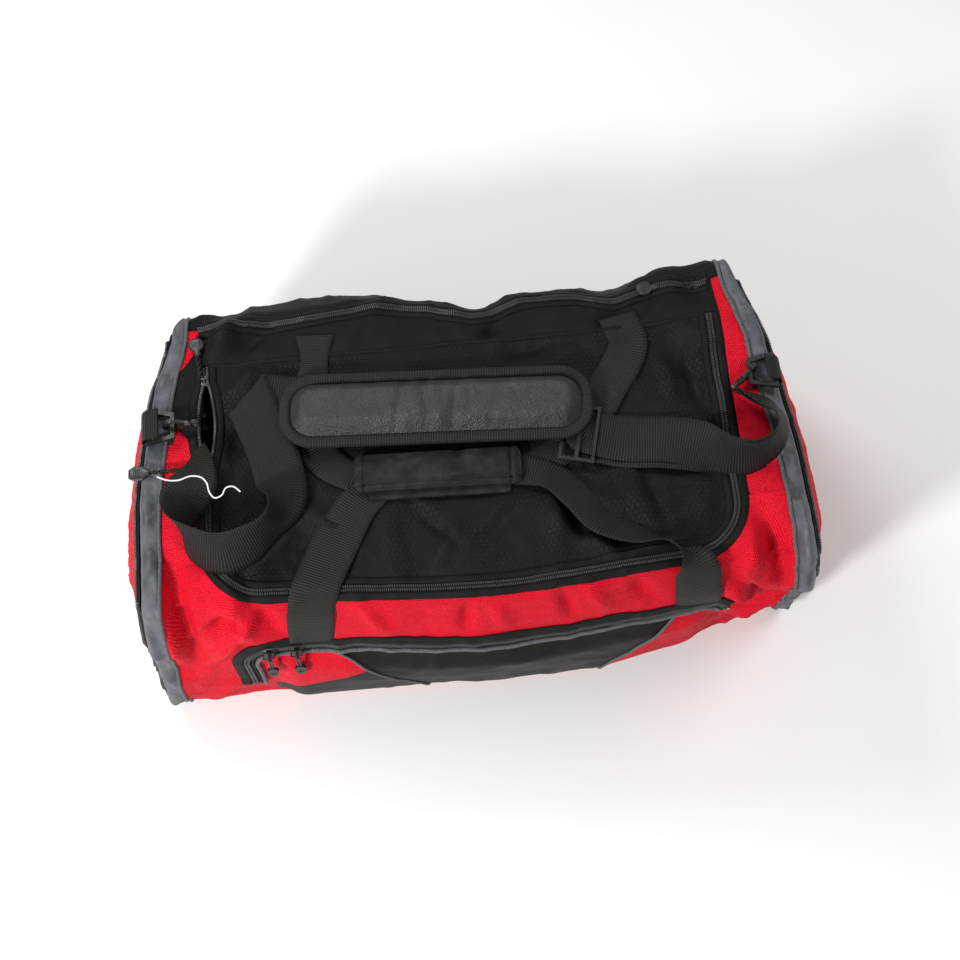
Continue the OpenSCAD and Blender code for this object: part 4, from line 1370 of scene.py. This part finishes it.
def strap():
    stretch(strap_fold(), "webbing", "lid", (0, -118, 0), (0, -66, 0), "strap_left_loop")
    right = [
        ((116, -16, STRAP_Z), (0.25, 1, 0), 44),
        ((158, -28, STRAP_Z + 1), (0.16, 1, 0), STRAP),
        ((198, -34, STRAP_Z + 4), (0.05, 1, 0), STRAP),
        ((232, -44, STRAP_Z + 6), (-0.3, 0.9, 0.3), 46),
        ((260, -60, STRAP_Z + 10), (-0.2, 0.6, 0.75), 42),
        ((286, -62, STRAP_Z + 13), (0, 0.4, 0.95), 38),
        ((310, -48, STRAP_Z + 15), (-0.3, 0.2, 0.95), 36),
        ((315, -26, STRAP_Z + 15), (-0.5, 0, 0.85), 34),
        ((302, -8, STRAP_Z + 14), (-0.6, -0.4, 0.75), 32),
        ((287, 5, STRAP_Z + 11), (-0.4, -0.4, 0.8), 22),
        ((277, 13, STRAP_Z + 6), (0, 0, 1), 7),
    ]
    under = []
    for (x, y, z), side, width in right:
        below = (x + 1.5 * side[1], y - 6.0 * abs(side[1]) - 2.0 * side[0], z - 2.1)
        under.append((below, side, width))
    for name, route, wave in (("strap_right", right, 0.0), ("strap_right_under", under, 1.2)):
        loop = ribbon(name, route, WEBBING, wave=wave)
        nodes = [] if wave else ["strap_right_loop"]
        stretch(loop, "webbing", "lid", (262, 0, 0), (215, 0, 0), *nodes)
    middle = [
        ((-146, 44, STRAP_Z), (0.12, 1, 0), STRAP),
        ((-27, 23, STRAP_Z), (0.06, 1, 0), STRAP),
        ((96, 2, STRAP_Z), (0.2, 1, 0), STRAP),
        ((128, -18, STRAP_Z + 0.2), (0.4, 1, 0), STRAP),
    ]
    place(ribbon("strap_under_pad", middle, WEBBING), "webbing", "lid", "strap_middle")


def leg_place(x, v, lift=3.0):
    """A point of a hand strap where it lies on the skin."""
    return tuple(skin(x, v, lift))


def front_handle():
    """The front hand strap: up the front wall, over the lid under the wrap, and twisted down again."""
    edge = TOP_Z + 4
    low, mid, high = (v_at_height(z) for z in (194.0, 222.0, 250.0))
    front = [
        (leg_place(-172, low), (1, 0, 0), HANDLE),
        (leg_place(-170, mid), (1, 0, 0), HANDLE),
        (leg_place(-166, high), (1, 0, 0), HANDLE),
        ((-158, -154, edge + 3), (1, 0, 0), HANDLE),
        ((-138, -112, FRONT_HANDLE_Z), (1, -0.4, 0), HANDLE),
        ((-108, -66, FRONT_HANDLE_Z), (1, -0.7, 0), HANDLE - 6),
        ((-66, -43, FRONT_HANDLE_Z), (0.2, -1, 0), HANDLE - 14),
        ((0, -44, FRONT_HANDLE_Z), (0, -1, 0), HANDLE - 14),
        ((52, -50, FRONT_HANDLE_Z), (-0.1, -1, 0), HANDLE - 14),
        ((82, -62, FRONT_HANDLE_Z + 4), (-0.6, -0.8, 0.3), HANDLE - 12),
        ((104, -88, FRONT_HANDLE_Z + 8), (-0.8, -0.5, 0.4), HANDLE - 8),
        ((124, -116, FRONT_HANDLE_Z + 8), (-0.6, -0.7, 0.5), HANDLE - 8),
        ((156, -132, FRONT_HANDLE_Z + 9), (-0.1, -0.8, 0.6), HANDLE - 10),
        ((184, -142, FRONT_HANDLE_Z + 10), (-0.1, -0.3, 0.9), HANDLE - 14),
        ((201, -156, FRONT_HANDLE_Z + 8), (-0.7, 0.1, 0.7), HANDLE - 10),
        (leg_place(211, high + 8, 8.0), (-1, 0, 0.2), HANDLE - 2),
        (leg_place(215, mid, 5.0), (-1, 0, 0), HANDLE),
        (leg_place(217, low), (-1, 0, 0), HANDLE),
    ]
    strap_front = ribbon("front_hand_strap", front, WEBBING)
    stretch(strap_front, "webbing", "front_handle", (0, -172, 262), (0, -140, 262), "front_handle")


def rear_handle():
    """The rear hand strap, which lies flat on the lid under the wrap and the pad."""
    rear = [
        (leg_place(-146, 122), (1, 0, 0), HANDLE - 6),
        (leg_place(-148, 92), (1, 0.1, 0), HANDLE - 18),
        (leg_place(-152, 56), (1, 0, 0), HANDLE - 6),
        ((-150, -4, HANDLE_Z), (1, 0.4, 0), HANDLE - 6),
        ((-118, -38, HANDLE_Z), (0.4, 1, 0), HANDLE - 14),
        ((-60, -50, HANDLE_Z), (0, 1, 0), HANDLE - 14),
        ((0, -50, HANDLE_Z), (0, 1, 0), HANDLE - 14),
        ((60, -46, HANDLE_Z), (-0.1, 1, 0), HANDLE - 14),
        ((116, -14, HANDLE_Z), (-0.8, 1, 0), HANDLE - 10),
        (leg_place(150, 34), (-0.8, 0.5, 0), HANDLE - 6),
        (leg_place(176, 78), (-1, 0.3, 0), HANDLE - 6),
        (leg_place(170, 122), (-0.9, -0.3, 0), HANDLE - 6),
    ]
    strap_rear = ribbon("rear_hand_strap", rear, WEBBING)
    bend_with_lid(strap_rear, "webbing", "rear_handle")


# ---- pullers -----------------------------------------------------------------------------------


UP = np.array([0.0, 0.0, 1.0])
TAB_LENGTH = 21.0
CORD_IN_TAB = 4.0


def tab_section(half_wide, half_high, count=14):
    a = np.linspace(0, 2 * math.pi, count, endpoint=False)
    round_ = np.stack([np.cos(a), np.sin(a)], axis=1)
    return np.sign(round_) * np.abs(round_) ** 0.7 * np.array([half_wide, half_high])


def twisted_cord(name, start, end, side):
    """Two strands twisted about a straight run."""
    along = np.linspace(0, 1, 70)
    run = start + (end - start) * along[:, None]
    turns = (np.linalg.norm(end - start) - CORD_IN_TAB) / 11.0
    strands = []
    for phase in (0.0, math.pi):
        angle = phase + 2 * math.pi * along * turns
        spread = 1.1 + 0.5 * np.sin(math.pi * along)
        line = run + side * (spread * np.cos(angle))[:, None] + UP * (spread * np.sin(angle))[:, None]
        strands.append(sweep(line, np.tile(UP, (70, 1)), circle(1.05, 8))[:2])
    verts, faces = joined(strands)
    return add_mesh(name, verts, faces, BINDING, verts[:, [0, 1]])


def moulded_tab(name, joint, heading, six_sided):
    """A rubber tab: a long hexagon, or a disc on a neck."""
    s = np.linspace(0, 1, 40)
    if six_sided:
        wide = np.interp(s, [0, 0.12, 0.30, 0.74, 0.96, 1.0], [3.4, 3.8, 8.0, 8.2, 5.2, 4.6])
    else:
        disc = 8.2 * np.sqrt(np.clip(1 - ((s - 0.62) / 0.385) ** 2, 0.0, 1.0))
        wide = np.maximum(np.maximum(disc, 3.3 * (s < 0.5)), 0.6)
    high_half = np.interp(s, [0, 0.1, 0.3, 0.9, 1.0], [2.2, 2.5, 2.1, 2.0, 0.8])
    line = joint + heading * (TAB_LENGTH * s)[:, None]
    sections = np.stack([tab_section(w, h) for w, h in zip(wide, high_half)])
    verts, faces, uv = sweep(line, np.tile(UP, (40, 1)), sections)
    return add_mesh(name, verts, faces, RUBBER, uv)


def grip_ribs(name, joint, heading, side):
    """Four small ribs across the face of a tab."""
    ribs = []
    for k in (0.48, 0.56, 0.64, 0.72):
        middle = joint + heading * TAB_LENGTH * k + UP * 2.05
        rib = np.array([middle + side * w for w in np.linspace(-4.5, 4.5, 8)])
        ribs.append(sweep(rib, np.tile(UP, (8, 1)), circle(0.45, 6))[:2])
    verts, faces = joined(ribs)
    return add_mesh(name, verts, faces, RUBBER)


def puller(node, slider, degrees, six_sided=False):
    """A twisted cord from the slider's link to a moulded tab, lying along a heading over the CAD puller."""
    low, high = box_mm(node)
    heading = np.array([math.cos(math.radians(degrees)), math.sin(math.radians(degrees)), 0.0])
    centre, slider_centre = (low + high) / 2, sum(box_mm(slider)) / 2
    reach = np.dot(np.where(heading > 0, high, low) - centre, heading)
    side = np.cross(UP, heading)
    start = centre - heading * np.dot(centre - slider_centre, heading) + heading * 3.0
    joint = centre + heading * (reach - TAB_LENGTH)
    cord = twisted_cord(node + "_cord", start, joint + heading * CORD_IN_TAB, side)
    tab = moulded_tab(node + "_tab", joint, heading, six_sided)
    grip = grip_ribs(node + "_grip", joint, heading, side)
    place(cord, "webbing", node)
    place(tab, "pull_rubber", node, node)
    place(grip, "pull_rubber", node)


def pullers():
    puller("lid_rear_puller", "lid_rear_slider", 97)
    puller("lid_side_puller", "lid_side_slider", 180, six_sided=True)
    puller("rear_puller", "rear_slider", 181)


# ---- pad and wrap ------------------------------------------------------------------------------

PAD_LOW, PAD_HIGH = box_mm("pad_binding")
CORE_HIGH = box_mm("shoulder_pad")[1]
PAD_CENTRE = (PAD_LOW + PAD_HIGH) / 2
PAD_LENGTH, PAD_WIDTH, PAD_RADIUS, PAD_TURN = 317.0, 82.0, 35.0, math.radians(-3.5)
# Creases across the pad: distance from its middle, lean and depth.
PAD_CREASES = ((-36, 0.18, 2.2), (-10, -0.10, 2.8), (20, 0.12, 2.0), (62, 0.3, 0.9), (-92, 0.2, 0.7))


def rounded_outline(length, width, radius, count):
    """Points an even step apart round a rectangle with round corners."""
    t = np.linspace(0, math.pi / 2, 16)
    arcs = []
    for k, (sx, sy) in enumerate(((1, 1), (-1, 1), (-1, -1), (1, -1))):
        a = t + k * math.pi / 2
        cx, cy = sx * (length / 2 - radius), sy * (width / 2 - radius)
        arcs.append(np.stack([cx + radius * np.cos(a), cy + radius * np.sin(a)], axis=1))
    line = np.vstack(arcs + [arcs[0][:1]])
    line = even(line, 1.0)
    s = lengths(line)
    at = np.linspace(0, s[-1], count, endpoint=False)
    return np.stack([np.interp(at, s, line[:, k]) for k in range(2)], axis=1)


def turned(points, centre, angle):
    c, s = math.cos(angle), math.sin(angle)
    x, y = points[:, 0], points[:, 1]
    return np.stack([centre[0] + c * x - s * y, centre[1] + s * x + c * y, points[:, 2]], axis=1)


def slab_mesh(xs, ys, top, bottom):
    """A closed form over a grid of plan points: top and bottom heights, joined round the edge."""
    rows, cols = xs.shape
    points = np.vstack(
        [np.stack([xs, ys, top], -1).reshape(-1, 3), np.stack([xs, ys, bottom], -1).reshape(-1, 3)]
    )
    upper = grid_faces(rows, cols)
    lower = [[k + rows * cols for k in face[::-1]] for face in upper]
    rim = [i * cols for i in range(rows)]
    rim += [(rows - 1) * cols + j for j in range(1, cols)]
    rim += [i * cols + cols - 1 for i in range(rows - 2, -1, -1)]
    rim += [j for j in range(cols - 2, 0, -1)]
    wall = [
        [rim[k], rim[(k + 1) % len(rim)], rim[(k + 1) % len(rim)] + rows * cols, rim[k] + rows * cols]
        for k in range(len(rim))
    ]
    return points, [face[::-1] for face in upper] + [face[::-1] for face in lower] + wall


def squircle_grid(length, width, radius, cols, rows):
    """Plan points of a rectangle with round corners, as a grid whose rim follows the outline."""
    u, w = np.meshgrid(np.linspace(-1, 1, cols), np.linspace(-1, 1, rows), indexing="ij")
    half_l, half_w = length / 2, width / 2
    x, y = u * half_l, w * half_w
    over_x = np.maximum(np.abs(x) - (half_l - radius), 0.0)
    over_y = np.maximum(np.abs(y) - (half_w - radius), 0.0)
    reach = np.hypot(over_x, over_y)
    longest = np.maximum(over_x, over_y)
    pull = np.where(reach > 1e-6, longest / np.maximum(reach, 1e-6), 1.0)
    x = np.sign(x) * (np.abs(x) - over_x + over_x * pull)
    y = np.sign(y) * (np.abs(y) - over_y + over_y * pull)
    return x, y


def inset_from_edge(x, y, length, width, radius):
    qx, qy = np.abs(x) - length / 2 + radius, np.abs(y) - width / 2 + radius
    outside = np.hypot(np.maximum(qx, 0), np.maximum(qy, 0))
    return radius - outside - np.minimum(np.maximum(qx, qy), 0)


def pad_tape(base_z):
    """The woven tape bound round the pad: a flat oval carried round its outline."""
    inward = 6.0
    size = (PAD_LENGTH - 2 * inward, PAD_WIDTH - 2 * inward, PAD_RADIUS - inward)
    outline = rounded_outline(*size, 300)
    line = turned(np.hstack([outline, np.zeros((300, 1))]), PAD_CENTRE, PAD_TURN)
    line = line + np.array([0, 0, base_z + 4.0])
    a = np.linspace(0, 2 * math.pi, 18, endpoint=False)
    flat = np.stack([6.2 * np.sign(np.cos(a)) * np.abs(np.cos(a)) ** 0.6, 4.0 * np.sin(a)], axis=1)
    verts, faces, uv = sweep(line, np.tile([0.0, 0.0, 1.0], (300, 1)), flat, closed=True)
    place(add_mesh("pad_tape", verts, faces, BINDING, uv), "webbing", "pad", "pad_binding")


def shoulder_pad():
    base_z, border = PAD_LOW[2] - 0.5, 10.0
    x, y = squircle_grid(PAD_LENGTH - 6, PAD_WIDTH - 6, PAD_RADIUS - 3, 220, 70)
    inset = inset_from_edge(x, y, PAD_LENGTH, PAD_WIDTH, PAD_RADIUS)
    crown = CORE_HIGH[2] - base_z
    rise = 4.0 + (crown - 5.0) * ease((inset - border) / 17.0) ** 0.7
    creases = 0.0
    for at, lean, deep in PAD_CREASES:
        creases = creases - deep * hill((x - at - lean * y) / 5.0)
        creases = creases + 0.5 * deep * hill((x - at - 9 - lean * y) / 6.0)
    soft = 0.9 * cloud(x, y, 24.0, 31) + 0.5 * ridges(x, y, 16.0, 32)
    top = base_z + rise + (creases + soft) * ease((inset - border) / 7.0)
    points, faces = slab_mesh(x, y, top, np.full_like(x, base_z + 1.0))
    core = add_mesh("pad_cushion", turned(points, PAD_CENTRE, PAD_TURN), faces, LEATHERETTE, points[:, :2])
    place(core, "pad_leatherette", "pad", "shoulder_pad")
    pad_tape(base_z)


WRAP_LOW, WRAP_HIGH = box_mm("wrap_flap")
WRAP_BASE_LOW, WRAP_BASE_HIGH = box_mm("wrap_base")
WRAP_TURN = math.radians(-2)
WRAP_WIDTH = 40.0


def hand_wrap():
    length, width = 166.0, WRAP_WIDTH
    size = (length, width, 7.0)
    centre = (WRAP_LOW + WRAP_HIGH) / 2 + np.array([0, 3.0, 0])
    x, y = squircle_grid(*size, 130, 40)
    inset = inset_from_edge(x, y, *size)
    base_z = WRAP_LOW[2]
    rise = 3.0 + (WRAP_HIGH[2] - base_z - 4.0) * ease(inset / 15.0) ** 0.55
    ends = hill((np.abs(x) - length / 2 + 10.0) / 1.6)
    seam = hill((y + width / 2 - 7.0) / 1.5)
    rise = rise - 3.0 * ends - 2.2 * seam + 1.6 * hill((y + width / 2 - 3.5) / 2.0)
    soft = 0.9 * cloud(x, y, 20.0, 71) + 0.8 * ridges(x, y, 18.0, 72)
    top = base_z + rise + soft * ease(inset / 8.0)
    notch = hill((x - 22.0) / 5.0) * ease((y - 6.0) / 14.0)
    top = np.maximum(top - 5.0 * notch, base_z + 1.0)
    points, faces = slab_mesh(x, y, top, np.full_like(x, base_z))
    flap = add_mesh("wrap_cushion", turned(points, centre, WRAP_TURN), faces, KNIT, points[:, :2])
    place(flap, "wrap_cloth", "wrap_flap", "wrap_flap")


def wrap_layer():
    """The lower layer of the wrap, which shows beside the flap's edge."""
    centre = (WRAP_BASE_LOW + WRAP_BASE_HIGH) / 2 + np.array([0, -4.0, 0])
    size = (WRAP_BASE_HIGH[0] - WRAP_BASE_LOW[0] - 4, WRAP_WIDTH - 2, 5.0)
    x, y = squircle_grid(*size, 90, 26)
    inset = inset_from_edge(x, y, *size)
    top = WRAP_BASE_LOW[2] + 0.8 + 0.9 * ease(inset / 5.0)
    points, faces = slab_mesh(x, y, top, np.full_like(x, WRAP_BASE_LOW[2]))
    under = add_mesh("wrap_under", turned(points, centre, WRAP_TURN), faces, KNIT, points[:, :2])
    place(under, "wrap_cloth", "lid", "wrap_base")


# ---- carried-over CAD nodes --------------------------------------------------------------------


def paint(material, *nodes):
    for node in nodes:
        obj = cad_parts[node]
        obj.data.materials.clear()
        obj.data.materials.append(material)


def finish_hardware():
    ends = [name for _, name in SIDES]
    clips = ("_ring", "_hook", "_hook_gate", "_hook_eye")
    zips = ["lid_rear", "lid_side", "rear"]
    paint(PLASTIC, "strap_adjuster", *(name + clip for name in ends for clip in clips))
    paint(LACQUER, *(z + "_slider" for z in zips), "pocket_slider_a", "pocket_slider_b")
    paint(LACQUER, *(name + "_end_slider" for name in ends))
    paint(PLASTIC, *(z + "_puller" for z in zips), "pocket_puller_a", "pocket_puller_b")
    paint(PLASTIC, *(name + "_end_puller" for name in ends))


# ---- stage -------------------------------------------------------------------------------------


def floor_material():
    s = Shade("floor", (0.86, 0.86, 0.85), 0.7)
    at = s.place("Object")
    tone = s.blend(s.grain(at, 300.0, 3.0), (0.84, 0.84, 0.83), (0.88, 0.88, 0.87))
    return s.use(tone)


def add_light(name, at, size, power):
    """A round area light aimed at the bag."""
    data = bpy.data.lights.new(name, "AREA")
    data.shape = "DISK"
    data.size = size
    data.energy = power
    light = bpy.data.objects.new(name, data)
    light.location = at
    aim = np.array([0.0, 0.0, 0.15]) - np.array(at)
    yaw = math.atan2(aim[1], aim[0]) - math.pi / 2
    pitch = math.atan2(math.hypot(aim[0], aim[1]), -aim[2])
    light.rotation_euler = (pitch, 0.0, yaw)
    bpy.context.collection.objects.link(light)


def stage():
    bpy.context.scene.view_settings.view_transform = "Standard"
    half = 6.0
    corners = [(-half, -half, 0), (half, -half, 0), (half, half, 0), (-half, half, 0)]
    mesh = bpy.data.meshes.new("floor")
    mesh.from_pydata(corners, [], [(0, 1, 2, 3)])
    mesh.materials.append(floor_material())
    floor = bpy.data.objects.new("floor", mesh)
    bpy.context.collection.objects.link(floor)
    world = bpy.data.worlds.new("studio")
    world.use_nodes = True
    sky = world.node_tree.nodes["Background"]
    sky.inputs[0].default_value = (1.0, 1.0, 1.0, 1.0)
    sky.inputs[1].default_value = 0.42
    bpy.context.scene.world = world
    add_light("key", (-1.0, -1.1, 1.2), 0.3, 30.0)
    add_light("back", (-0.8, 1.1, 1.7), 0.8, 18.0)
    add_light("fill", (1.4, 0.4, 1.6), 1.0, 10.0)


# ---- everything --------------------------------------------------------------------------------

make_camera()
loose_thread()
shell_panels()
lid()
lid_zip()
rear_zip()
for end_side, end_name in SIDES:
    end_parts(end_side, end_name)
front_pocket()
base()
strap()
front_handle()
rear_handle()
ring_tabs()
pullers()
shoulder_pad()
hand_wrap()
wrap_layer()
finish_hardware()
stage()
